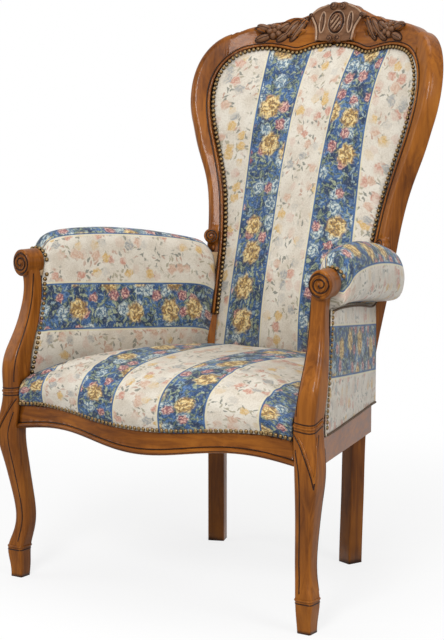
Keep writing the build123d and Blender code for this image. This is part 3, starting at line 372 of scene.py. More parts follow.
def finish_node(node, finish):
    """A merged copy of a CAD node with smooth shading and a finish, standing for the node."""
    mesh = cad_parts[node].data.copy()
    shape = bmesh.new()
    shape.from_mesh(mesh)
    bmesh.ops.remove_doubles(shape, verts=shape.verts, dist=LOOSE)
    shape.to_mesh(mesh)
    shape.free()
    mesh.materials.clear()
    mesh.materials.append(finish)
    mesh.shade_smooth()
    mesh.set_sharp_from_angle(angle=SMOOTH_ANGLE)
    piece = bpy.data.objects.new("wood_" + node, mesh)
    bpy.context.scene.collection.objects.link(piece)
    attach(piece, "root")
    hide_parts(node)
    return piece


SHOW_WOOD = {
    "crest_rail": across_wood, "front_seat_rail": across_wood, "rear_seat_rail": across_wood,
    "front_leg_right": upright_wood, "front_leg_left": upright_wood,
    "rear_post_right": upright_wood, "rear_post_left": upright_wood,
    "side_seat_rail_right": along_wood, "side_seat_rail_left": along_wood,
}
for node, finish in SHOW_WOOD.items():
    finish_node(node, finish)
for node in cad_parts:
    if node.startswith(HIDDEN_WOOD) or node.endswith("dowels"):
        finish_node(node, bare_wood)
print("wood pieces:", len(SHOW_WOOD))

# %% [markdown]
# ## The cloth
# A satin jacquard is woven in stripes: cream ones strewn with small pastel sprigs, blue ones packed with
# roses. Each cover carries its own cloth coordinates in metres, U across the stripes and V along them, so
# one material serves the seat, the back and the arms, and a stripe keeps its width on all of them. Cells
# of a Voronoi texture place the flowers, and the angle about a cell's centre cuts the petals. A little
# noise on the coordinates breaks every outline, as brushed motifs and woven threads do.

# %% Motifs
TURN = 2 * math.pi


def noise(finish, weave, scale, detail, output="Fac"):
    """A noise read on cloth coordinates, so many bumps to a metre."""
    made = finish.node("ShaderNodeTexNoise", {"noise_dimensions": "2D"},
                       {"Vector": weave, "Scale": scale, "Detail": detail})
    return made.outputs[output] if output == "Color" else finish.num(made, output)


def strewn(cloth, weave, cell, spread):
    """The place inside its own cell of each point, and two random numbers to a cell."""
    cells = cloth.node("ShaderNodeTexVoronoi", {"voronoi_dimensions": "2D"},
                       {"Vector": weave, "Scale": 1.0 / cell, "Randomness": spread})
    away = cloth.node("ShaderNodeVectorMath", {"operation": "SUBTRACT"},
                      {0: weave, 1: cells.outputs["Position"]}).outputs[0]
    chance = cloth.node("ShaderNodeSeparateColor", {}, {0: cells.outputs["Color"]})
    return away, cloth.num(chance, "Red"), cloth.num(chance, "Green")


def blooms(cloth, weave, cell, spread, petals, radius):
    """Mask, folds of the petals and a random number for flowers, one to a cell."""
    away, pick, size = strewn(cloth, weave, cell, spread)
    split = cloth.node("ShaderNodeSeparateXYZ", {}, {0: away})
    across, along = cloth.num(split, "X"), cloth.num(split, "Y")
    angle = along.math("ARCTAN2", across) + size * TURN
    distance = (across * across + along * along).math("SQRT")
    crumple = noise(cloth, weave, 2.6 / radius, 1.0)
    reach = (0.82 + size * 0.26) * radius * (0.80 + (angle * petals).math("COSINE") * 0.07 + crumple * 0.26)
    share = distance / reach
    folds = (share * 9.0 + angle * 2 + crumple * 11.0).math("SINE") - (0.3 - share).ramp_up(0.0, 0.3)
    return 1 - share.ramp_up(0.62, 1.0), folds, pick


def leaves(cloth, weave, cell, long, wide):
    """Mask, midrib and a random number for leaves turned every way, one to a cell."""
    away, pick, turn = strewn(cloth, weave, cell, 0.95)
    turned = cloth.node("ShaderNodeVectorRotate", {"rotation_type": "Z_AXIS"},
                        {"Vector": away, "Angle": turn * TURN}).outputs[0]
    split = cloth.node("ShaderNodeSeparateXYZ", {}, {0: turned})
    length, width = cloth.num(split, "X") / long, cloth.num(split, "Y") / wide
    edge = length * length + abs(width) * (1 + abs(length) * 0.6)
    return 1 - edge.ramp_up(0.7, 1.0), 1 - abs(width).ramp_up(0.05, 0.35), pick


def petals_of(cloth, folds, tones):
    """Three tones of one flower: dark folds, a plain middle tone and light petal edges."""
    dark, plain, light = tones
    colour = cloth.mix(folds.ramp_up(-0.3, 0.9), plain, light)
    return cloth.mix((0 - folds).ramp_up(0.1, 1.0) * 0.75, colour, dark)


print("motifs ready")

# %% [markdown]
# ## The stripes
# The two kinds of stripe are coloured apart and joined along a thin gold border. Leaves lie under blooms,
# and gold roses lie on top. Painted shade darkens the cloth where cover meets cover and where wood comes
# close, found by ambient occlusion, and fine diagonal ribs give the satin its twill.

# %% Cloth finish
STRIPE_PERIOD = 0.193
BLUE_HALF = 0.0465
BORDER_SHIFT = 0.0012
RIB_PITCH = 0.0017
BLUE_GROUND = [(0.34, (0.016, 0.050, 0.135)), (0.48, (0.034, 0.095, 0.235)), (0.62, (0.066, 0.160, 0.340))]
CREAM_GROUND = [(0.36, (0.560, 0.495, 0.405)), (0.50, (0.650, 0.595, 0.505)), (0.66, (0.700, 0.655, 0.570))]
GOLD_TONES = ((0.20, 0.105, 0.030), (0.54, 0.325, 0.085), (0.80, 0.61, 0.28))
PINK_TONES = ((0.18, 0.045, 0.060), (0.46, 0.175, 0.160), (0.70, 0.43, 0.35))
PALE_TONES = ((0.050, 0.110, 0.210), (0.26, 0.36, 0.41), (0.60, 0.65, 0.60))
LEAF_STOPS = [(0.0, (0.035, 0.070, 0.055)), (0.30, (0.16, 0.21, 0.125)), (0.56, (0.33, 0.38, 0.24)),
              (0.80, (0.24, 0.34, 0.39))]
BUD_STOPS = [(0.0, (0.50, 0.23, 0.17)), (0.20, (0.58, 0.36, 0.10)), (0.38, (0.30, 0.31, 0.31)),
             (0.56, (0.54, 0.34, 0.25))]
GRASS_STOPS = [(0.0, (0.17, 0.18, 0.15)), (0.30, (0.33, 0.30, 0.21)), (0.56, (0.44, 0.27, 0.20))]
# Cell, half length and half width of the leaves on blue
BLUE_LEAVES = ((0.0165, 0.0112, 0.0042), (0.0120, 0.0072, 0.0029))
# Cell, scatter, petals, radius, tones and share of the cells of the blooms on blue
BLUE_BLOOMS = ((0.0420, 0.75, 5, 0.0195, PALE_TONES, 0.50), (0.0360, 0.85, 6, 0.0150, PINK_TONES, 0.40),
               (0.0720, 0.45, 7, 0.0300, GOLD_TONES, 0.80))
NAVY = (0.010, 0.024, 0.064)
MIDRIB = (0.44, 0.46, 0.30)
BUD_LIGHT = (0.70, 0.60, 0.46)
BORDER = (0.68, 0.62, 0.42)
# Strength, reach and tone of the painted shade where the cloth meets other parts
PAINTED_SHADE = 0.45
PAINTED_SHADE_REACH = 0.07
PAINTED_SHADE_TONE = (0.16, 0.13, 0.10)


def blue_stripe(cloth, weave, haze, fleck, inside):
    """Colour and relief of a blue stripe: ground, shade, leaves, pale and pink blooms, and gold roses."""
    colour = cloth.ramp(haze * 0.65 + fleck * 0.35, BLUE_GROUND)
    shade = noise(cloth, weave, 30.0, 2.0).ramp_up(0.47, 0.60)
    colour = cloth.mix(shade * inside * 0.85, colour, NAVY)
    relief = shade * 0.0
    for cell, long, wide in BLUE_LEAVES:
        leaf, rib, pick = leaves(cloth, weave, cell, long, wide)
        green = cloth.mix(rib * 0.4, cloth.ramp(pick, LEAF_STOPS, "CONSTANT"), MIDRIB)
        shown = leaf * inside * (pick < 0.92)
        colour = cloth.mix(shown * 0.85, colour, green)
        relief = relief.math("MAXIMUM", shown * 0.5)
    for cell, spread, petals, radius, tones, often in BLUE_BLOOMS:
        bloom, folds, pick = blooms(cloth, weave, cell, spread, petals, radius)
        shown = bloom * inside * (pick < often)
        colour = cloth.mix(shown * (0.72 + fleck * 0.5), colour, petals_of(cloth, folds, tones))
        relief = relief.math("MAXIMUM", shown * (0.8 + folds * 0.2))
    return colour, relief


def cream_stripe(cloth, weave, haze, fleck):
    """Colour and relief of a cream stripe with its thin sprigs and small buds."""
    colour = cloth.ramp(haze * 0.6 + fleck * 0.4, CREAM_GROUND)
    spray = noise(cloth, weave, 24.0, 1.0).ramp_up(0.42, 0.54)
    sprig, _, pick = leaves(cloth, weave, 0.0115, 0.0082, 0.0030)
    shown = sprig * spray * (pick < 0.78)
    colour = cloth.mix(shown * 0.85, colour, cloth.ramp(pick, GRASS_STOPS, "CONSTANT"))
    bud, folds, bud_pick = blooms(cloth, weave, 0.0270, 0.95, 5, 0.0135)
    pastel = cloth.ramp(bud_pick, BUD_STOPS, "CONSTANT")
    pastel = cloth.mix(folds.ramp_up(-0.4, 0.8) * 0.5, pastel, BUD_LIGHT)
    bloom = bud * (0.35 + spray * 0.65) * (bud_pick < 0.70)
    return cloth.mix(bloom * 0.9, colour, pastel), shown.math("MAXIMUM", bloom) * 0.5


def striped_cloth():
    """The jacquard of every cover."""
    cloth = Finish("striped_jacquard", Specular_IOR_Level=0.14, Sheen_Weight=0.03, Sheen_Roughness=0.45)
    straight = cloth.node("ShaderNodeUVMap", {"uv_map": "weave"}).outputs["UV"]
    split = cloth.node("ShaderNodeSeparateXYZ", {}, {0: straight})
    across, along = cloth.num(split, "X"), cloth.num(split, "Y")
    weave = straight
    for scale, reach in ((95.0, 0.0075), (330.0, 0.0024)):
        drift = cloth.node("ShaderNodeVectorMath", {"operation": "SUBTRACT"},
                           {0: noise(cloth, straight, scale, 1.0, "Color"), 1: (0.5, 0.5, 0.5)}).outputs[0]
        drift = cloth.node("ShaderNodeVectorMath", {"operation": "SCALE"},
                           {0: drift, "Scale": reach}).outputs[0]
        weave = cloth.node("ShaderNodeVectorMath", {"operation": "ADD"}, {0: weave, 1: drift}).outputs[0]
    side = abs(across - (across / STRIPE_PERIOD + 0.5).math("FLOOR") * STRIPE_PERIOD)
    blue = 1 - side.ramp_up(BLUE_HALF - 0.0006, BLUE_HALF + 0.0006)
    inside = 1 - side.ramp_up(BLUE_HALF - 0.0050, BLUE_HALF - 0.0026)
    border = 1 - abs(side - BLUE_HALF - BORDER_SHIFT).ramp_up(BORDER_SHIFT, 2 * BORDER_SHIFT)
    haze = noise(cloth, straight, 22.0, 3.0)
    fleck = noise(cloth, straight, 420.0, 1.0)
    field, field_relief = blue_stripe(cloth, weave, haze, fleck, inside)
    plain, plain_relief = cream_stripe(cloth, weave, haze, fleck)
    grain = noise(cloth, weave, 240.0, 2.0)
    field = cloth.mix(grain.ramp_up(0.48, 0.62) * inside * 0.55, field, NAVY)
    field = cloth.mix((1 - grain).ramp_up(0.54, 0.68) * inside * 0.18, field, (0.46, 0.48, 0.42))
    plain = cloth.mix(grain.ramp_up(0.52, 0.70) * 0.22, plain, (0.36, 0.30, 0.22))
    colour = cloth.mix(blue, plain, field)
    colour = cloth.mix(border * 0.75, colour, BORDER)
    threads = noise(cloth, straight, 900.0, 0.0)
    colour = cloth.mix(threads.ramp_up(0.25, 0.75) * 0.05, colour, (0.80, 0.78, 0.70))
    # Painted shade: ambient occlusion darkens the cloth where it meets other covers and the wood
    hollow = cloth.node("ShaderNodeAmbientOcclusion", {"samples": 6, "only_local": False},
                        {"Distance": PAINTED_SHADE_REACH})
    toned = 1 - cloth.num(hollow, "AO").ramp_up(0.25, 0.95)
    colour = cloth.mix(toned * PAINTED_SHADE, colour, PAINTED_SHADE_TONE)
    ribs = ((along + across * 0.5) * (TURN / RIB_PITCH)).math("SINE")
    relief = ribs * 0.22 + field_relief * blue + plain_relief * (1 - blue)
    cloth.shade(Base_Color=colour, Roughness=0.33 + blue * 0.14 + fleck * 0.12)
    cloth.bump(relief, 0.25, 0.0009)
    return cloth.material


cover = striped_cloth()
print("cloth nodes:", len(cover.node_tree.nodes))

# %% [markdown]
# ## Trims
# Antique brass is dark where fingers don't polish it, so the nails' metal goes brown in its crevices. The
# gimp is a thin twisted cord. Webbing, canvas and the dust cloth are plain weaves.

# %% Trim finishes
METAL_CREVICE = 0.006
CORD_STRANDS = 260.0
CORD_TONES = [(0.2, (0.050, 0.026, 0.014)), (0.8, (0.150, 0.092, 0.048))]


def plain_weave(name, low, high, thread):
    """A plain cloth with crossing threads, so many to a metre."""
    cloth = Finish(name, Roughness=0.85, Specular_IOR_Level=0.2)
    place = cloth.node("ShaderNodeTexCoord").outputs["Object"]
    split = cloth.node("ShaderNodeSeparateXYZ", {}, {0: place})
    warp = (cloth.num(split, "X") * TURN * thread).math("SINE")
    weft = (cloth.num(split, "Y") * TURN * thread).math("SINE")
    toned = cloth.node("ShaderNodeTexNoise", {}, {"Vector": place, "Scale": 40.0, "Detail": 3.0})
    tone = warp * weft * 0.25 + cloth.num(toned, "Fac")
    cloth.shade(Base_Color=cloth.ramp(tone, [(0.3, low), (0.7, high)]))
    cloth.bump(warp * weft, 0.3, 0.0006)
    return cloth.material


def worn_metal(name, dark, light, rough):
    """A metal that has darkened in its crevices."""
    metal = Finish(name, Metallic=1.0)
    place = metal.node("ShaderNodeTexCoord").outputs["Object"]
    spots = metal.node("ShaderNodeTexNoise", {}, {"Vector": place, "Scale": 160.0, "Detail": 2.0})
    cloud = metal.num(spots, "Fac")
    hollow = metal.node("ShaderNodeAmbientOcclusion", {"samples": 5, "only_local": False},
                        {"Distance": METAL_CREVICE})
    open_air = metal.num(hollow, "AO").ramp_up(0.35, 0.95)
    metal.shade(Base_Color=metal.ramp(open_air * 0.7 + cloud * 0.3, [(0.25, dark), (0.85, light)]),
                Roughness=rough + cloud * 0.18)
    return metal.material


def twisted_cord():
    """A thin brown cord whose strands cross it aslant, read on Object coordinates."""
    cord = Finish("gimp_cord", Roughness=0.7, Specular_IOR_Level=0.25)
    place = cord.node("ShaderNodeTexCoord").outputs["Object"]
    split = cord.node("ShaderNodeSeparateXYZ", {}, {0: place})
    strand = ((cord.num(split, "Y") + cord.num(split, "Z")) * TURN * CORD_STRANDS).math("SINE")
    cord.shade(Base_Color=cord.ramp(strand * 0.5 + 0.5, CORD_TONES))
    cord.bump(strand, 0.4, 0.0008)
    return cord.material


brass = worn_metal("antique_brass", (0.020, 0.011, 0.005), (0.20, 0.130, 0.058), 0.34)
steel = worn_metal("spring_steel", (0.10, 0.10, 0.105), (0.46, 0.46, 0.47), 0.34)
gimp = twisted_cord()
jute = plain_weave("jute_webbing", (0.26, 0.19, 0.11), (0.50, 0.40, 0.26), 420.0)
canvas = plain_weave("spring_canvas", (0.42, 0.35, 0.24), (0.62, 0.54, 0.40), 700.0)
dust_cloth = plain_weave("dust_cloth", (0.010, 0.010, 0.011), (0.030, 0.030, 0.033), 900.0)
print("trim finishes: 6")

# %% [markdown]
# ## Curves that the covers follow
# The covers repeat the frame's own lines: the bowed front rail, the leaning barrel of the back and the
# arms' table of sections. `between` reads a table on smooth cubics, so that a handful of rows gives a
# full curve.

# %% Lines of the frame
MM = 0.001
UPRIGHT = Vector((0.0, 0.0, 1.0))
FRONT_LEG = (327.0, -318.0)
RAIL_TOP = 348.0
SEAT_RAKE = 0.05
FRONT_RAIL_Y = -335.0
FRONT_RAIL_BOW = 42.0
BOW_HALF = 300.0
BARREL_R = 442.0
BACK_LEAN = 0.28
BACK_Y0 = 35.44
FRAME_DEEP = 34.0


def between(table, place):
    """The row of a table at a place, on cubics through its rows, and constant beyond both ends."""
    place = min(max(place, table[0][0]), table[-1][0])
    i = 1
    while table[i][0] < place:
        i += 1
    here, there = table[i - 1], table[i]
    before = table[max(i - 2, 0)]
    after = table[min(i + 1, len(table) - 1)]
    span = there[0] - here[0]
    t = (place - here[0]) / span
    row = []
    for a, b, p, q in zip(here[1:], there[1:], before[1:], after[1:]):
        slope_a = span * (b - p) / (there[0] - before[0])
        slope_b = span * (q - a) / (after[0] - here[0])
        row.append((2 * t**3 - 3 * t**2 + 1) * a + (t**3 - 2 * t**2 + t) * slope_a
                   + (3 * t**2 - 2 * t**3) * b + (t**3 - t**2) * slope_b)
    return row


def rail_top(y):
    """Upper edge of the raked side rails at a place front to back."""
    return RAIL_TOP - SEAT_RAKE * (y - FRONT_LEG[1])


def front_rail_face(x):
    """Face of the bowed front rail at a place across."""
    if abs(x) > BOW_HALF:
        return FRONT_RAIL_Y
    return FRONT_RAIL_Y - FRONT_RAIL_BOW * (1 + math.cos(math.pi * x / BOW_HALF)) / 2


def barrel_drop(x):
    """How far the barrel of the back comes forward at a place across."""
    return BARREL_R - math.sqrt(BARREL_R**2 - x**2)


def on_back(x, z, out=0.0):
    """A point on the front face of the back frame, and out in front of it."""
    level = math.sqrt(BARREL_R**2 - x**2) / BARREL_R
    normal = Vector((x / BARREL_R, level, -level * BACK_LEAN)).normalized()
    return Vector((x, BACK_Y0 + BACK_LEAN * z - barrel_drop(x), z)) - normal * out


print("rail face in the middle:", front_rail_face(0))

# %% [markdown]
# ## The joints of the crest
# The crest's ends are sanded over to the stiles after gluing. In each joint plane the outlines of the two
# ends are read as radii about the middle of the joint, and the crest's last stretch is drawn towards the
# stile's outline.

# %% Crest sanded flush with the stiles
# The normal of the right joint's plane, out of the crest
JOINT_NORMAL = (0.87, -0.47, 0.13)
SANDED_LENGTH = 55.0
FAR_HALF = 4.0
JOINT_REACH = 60.0
OUTLINE_STEPS = 120
OUTLINE_SHARE = 0.6
EDGE_SAMPLES = 60
IN_PLANE = 0.06


def eased(share):
    """A share from nought to one with soft ends."""
    share = min(max(share, 0.0), 1.0)
    return share * share * (3 - 2 * share)


def joint_turn(spot, middle, across, upward):
    """The step about a joint's middle that a point lies in, and how far out it lies."""
    flat = ((spot - middle).dot(across), (spot - middle).dot(upward))
    return math.atan2(flat[1], flat[0]) / TURN % 1.0 * OUTLINE_STEPS, math.hypot(*flat)


def end_outline(mesh, normal, level, middle, across, upward):
    """Radii of the outline that a mesh has in a joint plane, one for each step about the middle."""
    radii = [0.0] * OUTLINE_STEPS
    spots = [vert.co / MM for vert in mesh.vertices]
    flush = [abs(spot.dot(normal) - level) < IN_PLANE and (spot - middle).length < JOINT_REACH
             for spot in spots]
    for edge in mesh.edges:
        if all(flush[index] for index in edge.vertices):
            ends = [spots[index] for index in edge.vertices]
            for count in range(EDGE_SAMPLES + 1):
                spot = ends[0].lerp(ends[1], count / EDGE_SAMPLES)
                step, radius = joint_turn(spot, middle, across, upward)
                step = int(step) % OUTLINE_STEPS
                radii[step] = max(radii[step], radius)
    return radii


def radius_at(radii, step):
    """The radius at a step about the middle, between its two neighbours."""
    low = int(step - 0.5) % OUTLINE_STEPS
    part = (step - 0.5) % 1.0
    return radii[low] * (1 - part) + radii[(low + 1) % OUTLINE_STEPS] * part


def sand_joint(side, stile):
    """Draws one end of the crest over to its stile."""
    mesh = bpy.data.objects["wood_crest_rail"].data
    normal = Vector((JOINT_NORMAL[0] * side, JOINT_NORMAL[1], JOINT_NORMAL[2])).normalized()
    spots = [vert.co / MM for vert in mesh.vertices]
    level = max(spot.dot(normal) for spot in spots)
    last = [spot for spot in spots if level - spot.dot(normal) < IN_PLANE]
    far = [spot for spot in spots if abs(level - spot.dot(normal) - SANDED_LENGTH) < FAR_HALF]
    middles = [sum(group, Vector()) / len(group) for group in (last, far)]
    across = Vector((0, 1, 0)).cross(normal).cross(normal).normalized()
    upward = normal.cross(across)
    crest_end = end_outline(mesh, normal, level, middles[0], across, upward)
    stile_end = end_outline(bpy.data.objects[stile].data, normal, level, middles[0], across, upward)
    ratios = [wanted / had if wanted and had else 1.0 for wanted, had in zip(stile_end, crest_end)]
    print(stile, "outline ratios from", round(min(ratios), 2), "to", round(max(ratios), 2))
    for vert, spot in zip(mesh.vertices, spots):
        share = (level - spot.dot(normal)) / SANDED_LENGTH
        if share >= 1.0 or spot.x * side < 0:
            continue
        middle = middles[0].lerp(middles[1], share)
        step, radius = joint_turn(spot, middle, across, upward)
        if radius < OUTLINE_SHARE * radius_at(crest_end, step):
            continue
        grow = (radius_at(ratios, step) - 1.0) * eased(1.0 - share)
        flat = spot - middle
        flat -= normal * flat.dot(normal)
        vert.co += flat * grow * MM


for side, stile in ((1, "wood_rear_post_right"), (-1, "wood_rear_post_left")):
    sand_joint(side, stile)

# %% [markdown]
# ## Tools for covers and trims
# A cover starts as a flat grid that a small function lays over the chair, and it takes its cloth
# coordinates along. Where it is stuffed hard, a short cloth simulation with pressure swells it between
# its nailed edges. Its moves are kept small, because a tight cover gives little. Bars, domes and spaced
# places serve the carving and the nails.

# %% Cover helpers
MERGE = 0.05
STUFFING = 6.0
STUFF_FRAMES = 20
STILL = 1e-9


def smooth_piece(name, shape, finish, slot, *nodes):
    """Turns a bmesh into a smooth piece of the chair that stands for some nodes."""
    mesh = bpy.data.meshes.new(name)
    shape.to_mesh(mesh)
    shape.free()
    mesh.shade_smooth()
    mesh.materials.append(finish)
    piece = bpy.data.objects.new(name, mesh)
    bpy.context.scene.collection.objects.link(piece)
    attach(piece, "root")
    if nodes:
        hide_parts(*nodes)
    return piece


def stuff(shape, outward, swell):
    """Presses an open cover out, swell mm at most, in a cloth simulation that is held along its edge."""
    if sum((face.normal * face.calc_area() for face in shape.faces), Vector()).dot(Vector(outward)) < 0:
        bmesh.ops.reverse_faces(shape, faces=shape.faces)
    shape.verts.index_update()
    mesh = bpy.data.meshes.new("stuffing")
    shape.to_mesh(mesh)
    piece = bpy.data.objects.new("stuffing", mesh)
    bpy.context.scene.collection.objects.link(piece)
    nailed = piece.vertex_groups.new(name="nailed")
    nailed.add([vert.index for vert in shape.verts if vert.is_boundary], 1.0, "REPLACE")
    pressed = piece.modifiers.new("pressed", "CLOTH")
    pressed.settings.vertex_group_mass = nailed.name
    pressed.settings.use_pressure = True
    pressed.settings.uniform_pressure_force = STUFFING
    pressed.settings.effector_weights.gravity = 0.0
    pressed.collision_settings.use_collision = False
    for tick in range(1, STUFF_FRAMES + 1):
        bpy.context.scene.frame_set(tick)
    settled = piece.evaluated_get(bpy.context.evaluated_depsgraph_get()).data
    furthest = 0.0
    for vert in shape.verts:
        move = settled.vertices[vert.index].co - vert.co
        furthest = max(furthest, move.length / MM)
        vert.co += move * min(1.0, swell * MM / max(move.length, STILL))
    bpy.data.objects.remove(piece)
    bpy.data.meshes.remove(mesh)
    bpy.context.scene.frame_set(1)
    print("stuffing pressed out", round(furthest, 1), "mm, kept to", swell)


def cover_patch(columns, rows, place, thick, outward=None, swell=0.0):
    """A closed cover on a grid: place(u, v) gives a point and its cloth coordinates, both in mm.

    A sheet gets a thickness. A grid that meets itself has none, and its two open ends are filled.
    """
    shape = bmesh.new()
    bmesh.ops.create_grid(shape, x_segments=columns, y_segments=rows, size=0.5)
    weave = shape.loops.layers.uv.new("weave")
    spots = {}
    for vert in shape.verts:
        point, spots[vert] = place(vert.co.x + 0.5, vert.co.y + 0.5)
        vert.co = Vector(point) * MM
    for face in shape.faces:
        for loop in face.loops:
            across, along = spots[loop.vert]
            loop[weave].uv = (across * MM, along * MM)
    if swell:
        shape.normal_update()
        stuff(shape, outward, swell)
    if thick:
        bmesh.ops.recalc_face_normals(shape, faces=shape.faces)
        bmesh.ops.solidify(shape, geom=shape.faces[:], thickness=thick * MM)
    else:
        bmesh.ops.remove_doubles(shape, verts=shape.verts, dist=MERGE * MM)
        bmesh.ops.holes_fill(shape, edges=[e for e in shape.edges if e.is_boundary])
    bmesh.ops.recalc_face_normals(shape, faces=shape.faces)
    return shape


def bar(shape, line, wide, high, sides=6):
    """Adds a closed bar along a line of (point, normal) in mm, by its half width and half height."""
    loops = []
    for i, (point, normal) in enumerate(line):
        run = (line[min(i + 1, len(line) - 1)][0] - line[max(i - 1, 0)][0]).normalized()
        across = run.cross(normal).normalized()
        lift = across.cross(run)
        turn = Matrix((across * wide, lift * high, run)).transposed().to_4x4()
        made = bmesh.ops.create_circle(shape, cap_ends=i in (0, len(line) - 1), segments=sides, radius=MM,
                                       matrix=Matrix.Translation(point * MM) @ turn)
        loops.append(list({edge for vert in made["verts"] for edge in vert.link_edges}))
    for a, b in zip(loops, loops[1:]):
        bmesh.ops.bridge_loops(shape, edges=a + b)


def dome(shape, point, normal, along, sizes, rings=4):
    """Adds a flattened ball in mm on a surface: its half length, half width and height."""
    across = normal.cross(along).normalized()
    ahead = across.cross(normal)
    long, wide, high = sizes
    turn = Matrix((ahead * long, across * wide, normal * high)).transposed().to_4x4()
    bmesh.ops.create_uvsphere(shape, u_segments=2 * rings, v_segments=rings, radius=MM,
                              matrix=Matrix.Translation(point * MM) @ turn)


def spaced(line, pitch):
    """Points and normals at a pitch along a line of (point, normal)."""
    places = []
    left = 0.0
    for (a, normal_a), (b, normal_b) in zip(line, line[1:]):
        long = (b - a).length
        while left <= long:
            share = left / long
            places.append((a.lerp(b, share), normal_a.lerp(normal_b, share).normalized()))
            left += pitch
        left -= long
    return places


print("cover helpers ready")

# %% [markdown]
# ## The back
# A stuffed back is a tight crowned cushion inside its frame. Its edge follows the stiles and the wavy
# lower edge of the crest, and its middle stands proud by up to 70 mm. Here a grid is laid out row by row
# between those edges, and the stuffing then swells it.

# %% Back cover
STILE_INSIDE = [(405.0, 166.0), (445.0, 169.0), (537.0, 173.0), (628.0, 177.0), (720.0, 189.0),
                (766.0, 200.0), (812.0, 213.5), (855.0, 227.5), (898.0, 238.0), (936.0, 242.0),
                (976.0, 238.0), (998.0, 228.0), (1011.0, 214.0)]
CREST_UNDER = [(0.0, 1036.0), (30.0, 1034.0), (55.0, 1029.0), (84.0, 1019.0), (112.0, 1025.0),
               (155.0, 1030.0), (195.0, 1022.0), (215.0, 1012.0)]
BACK_CROWN = [(405.0, 44.0), (480.0, 60.0), (560.0, 65.0), (670.0, 62.0), (760.0, 57.0), (850.0, 48.0),
              (930.0, 38.0), (985.0, 25.0), (1012.0, 12.0), (1036.0, 2.0)]
BLUE_MIDDLE = 96.5
BACK_TUCK = 3.0
BACK_THICK = 14.0
BACK_SWELL = 6.0
BACK_OUTWARD = (0.0, -1.0, 0.0)
SIDE_EASE = 2.4
TOP_EASE = 80.0
TOP_EASE_FROM = 0.90
TOP_BEND = 5


def back_spot(u, v):
    """A point of the back cover and its cloth coordinates."""
    side = 2 * u - 1
    low, high = STILE_INSIDE[0][0], STILE_INSIDE[-1][0]
    edge_z = low + (high - low) * v
    half = between(STILE_INSIDE, edge_z)[0] - BACK_TUCK
    x = side * half
    top = between(CREST_UNDER, abs(x))[0] - BACK_TUCK
    z = edge_z + (top - high) * v**TOP_BEND
    crown = between(BACK_CROWN, z)[0]
    ease = 1 - abs(side) ** SIDE_EASE
    top_ease = 1 - max(v - TOP_EASE_FROM, 0.0) ** 2 * TOP_EASE
    return on_back(x, z, crown * ease * top_ease), (x - BLUE_MIDDLE, z)


back_shape = cover_patch(72, 84, back_spot, BACK_THICK, BACK_OUTWARD, BACK_SWELL)
back = smooth_piece("back_cover", back_shape, cover, "cover", "back_pad")
print("back cover:", len(back.data.polygons), "faces")

# %% [markdown]
# ## The seat
# The seat is sprung and domed. Its cloth starts at the nails on the front rail, swells forward over a
# stuffed roll, climbs to the crown and falls away to the arms and the back. One profile runs up the
# middle and a flatter one along the arms, and the grid blends from one to the other.

# %% Seat cover
NAIL_LINE = [(0.0, 335.0), (50.0, 336.0), (100.0, 339.0), (150.0, 344.0), (200.0, 347.0), (240.0, 348.0),
             (275.0, 346.0), (310.0, 342.0)]
# Share of the way, how far behind the rail's face, height over the nails
SEAT_MIDDLE = [(0.0, -3.0, 0.0), (0.04, -5.0, 12.0), (0.09, -9.0, 32.0), (0.15, -6.0, 54.0),
               (0.21, 12.0, 73.0), (0.30, 52.0, 91.0), (0.44, 130.0, 105.0), (0.62, 262.0, 111.0),
               (0.80, 385.0, 108.0), (0.93, 462.0, 99.0), (1.0, 486.0, 86.0)]
SEAT_SIDE = [(0.0, -2.0, 0.0), (0.04, -3.0, 8.0), (0.09, -5.0, 22.0), (0.15, -1.0, 38.0), (0.21, 14.0, 50.0),
             (0.30, 46.0, 58.0), (0.44, 118.0, 62.0), (0.62, 236.0, 60.0), (0.80, 346.0, 54.0),
             (0.93, 424.0, 46.0), (1.0, 444.0, 40.0)]
SEAT_THICK = 10.0
SEAT_SWELL = 5.0
SEAT_OUTWARD = (0.0, 0.0, 1.0)
SEAT_HALF = 300.0
SEAT_CLOTH = 540.0
RAKE_SHARE = 0.55
NEAR_ARM = 3.2
LEG_ROOM = FRONT_LEG[0] - 22.0
ARM_ROOM = 1.0
ARM_START = -268.0
NARROWING = (-300.0, 50.0)
ARM_IN_FRONT = Vector((308.0, -262.0, 0.0))
ARM_IN_REAR = Vector((180.0, 160.0, 0.0))
ARM_RUN = (ARM_IN_REAR - ARM_IN_FRONT).normalized()
ARM_OUT = Vector((ARM_RUN.y, -ARM_RUN.x, 0.0))


def beside_arm(y):
    """Inside face of an arm at a place front to back."""
    return ARM_IN_FRONT.x + ARM_RUN.x * (y - ARM_IN_FRONT.y) / ARM_RUN.y


def seat_spot(u, v):
    """A point of the seat cover and its cloth coordinates."""
    side = 2 * u - 1
    near_arm = abs(side) ** NEAR_ARM
    back_a, rise_a = between(SEAT_MIDDLE, v)
    back_b, rise_b = between(SEAT_SIDE, v)
    behind = back_a + (back_b - back_a) * near_arm
    rise = rise_a + (rise_b - rise_a) * near_arm
    y = front_rail_face(side * SEAT_HALF) + behind
    half = LEG_ROOM
    if y > ARM_START:
        blend = min(max((y - NARROWING[0]) / NARROWING[1], 0.0), 1.0)
        half += (beside_arm(y) - ARM_ROOM - LEG_ROOM) * blend
    x = side * half
    y = front_rail_face(x) + behind
    fall = SEAT_RAKE * max(y - FRONT_LEG[1], 0.0) * RAKE_SHARE
    z = between(NAIL_LINE, abs(x))[0] + rise - fall
    return (x, y, z), (x - BLUE_MIDDLE, SEAT_CLOTH * v)


seat_shape = cover_patch(96, 84, seat_spot, SEAT_THICK, SEAT_OUTWARD, SEAT_SWELL)
seat = smooth_piece("seat_cover", seat_shape, cover, "cover", "seat_pad")
print("seat cover:", len(seat.data.polygons), "faces")

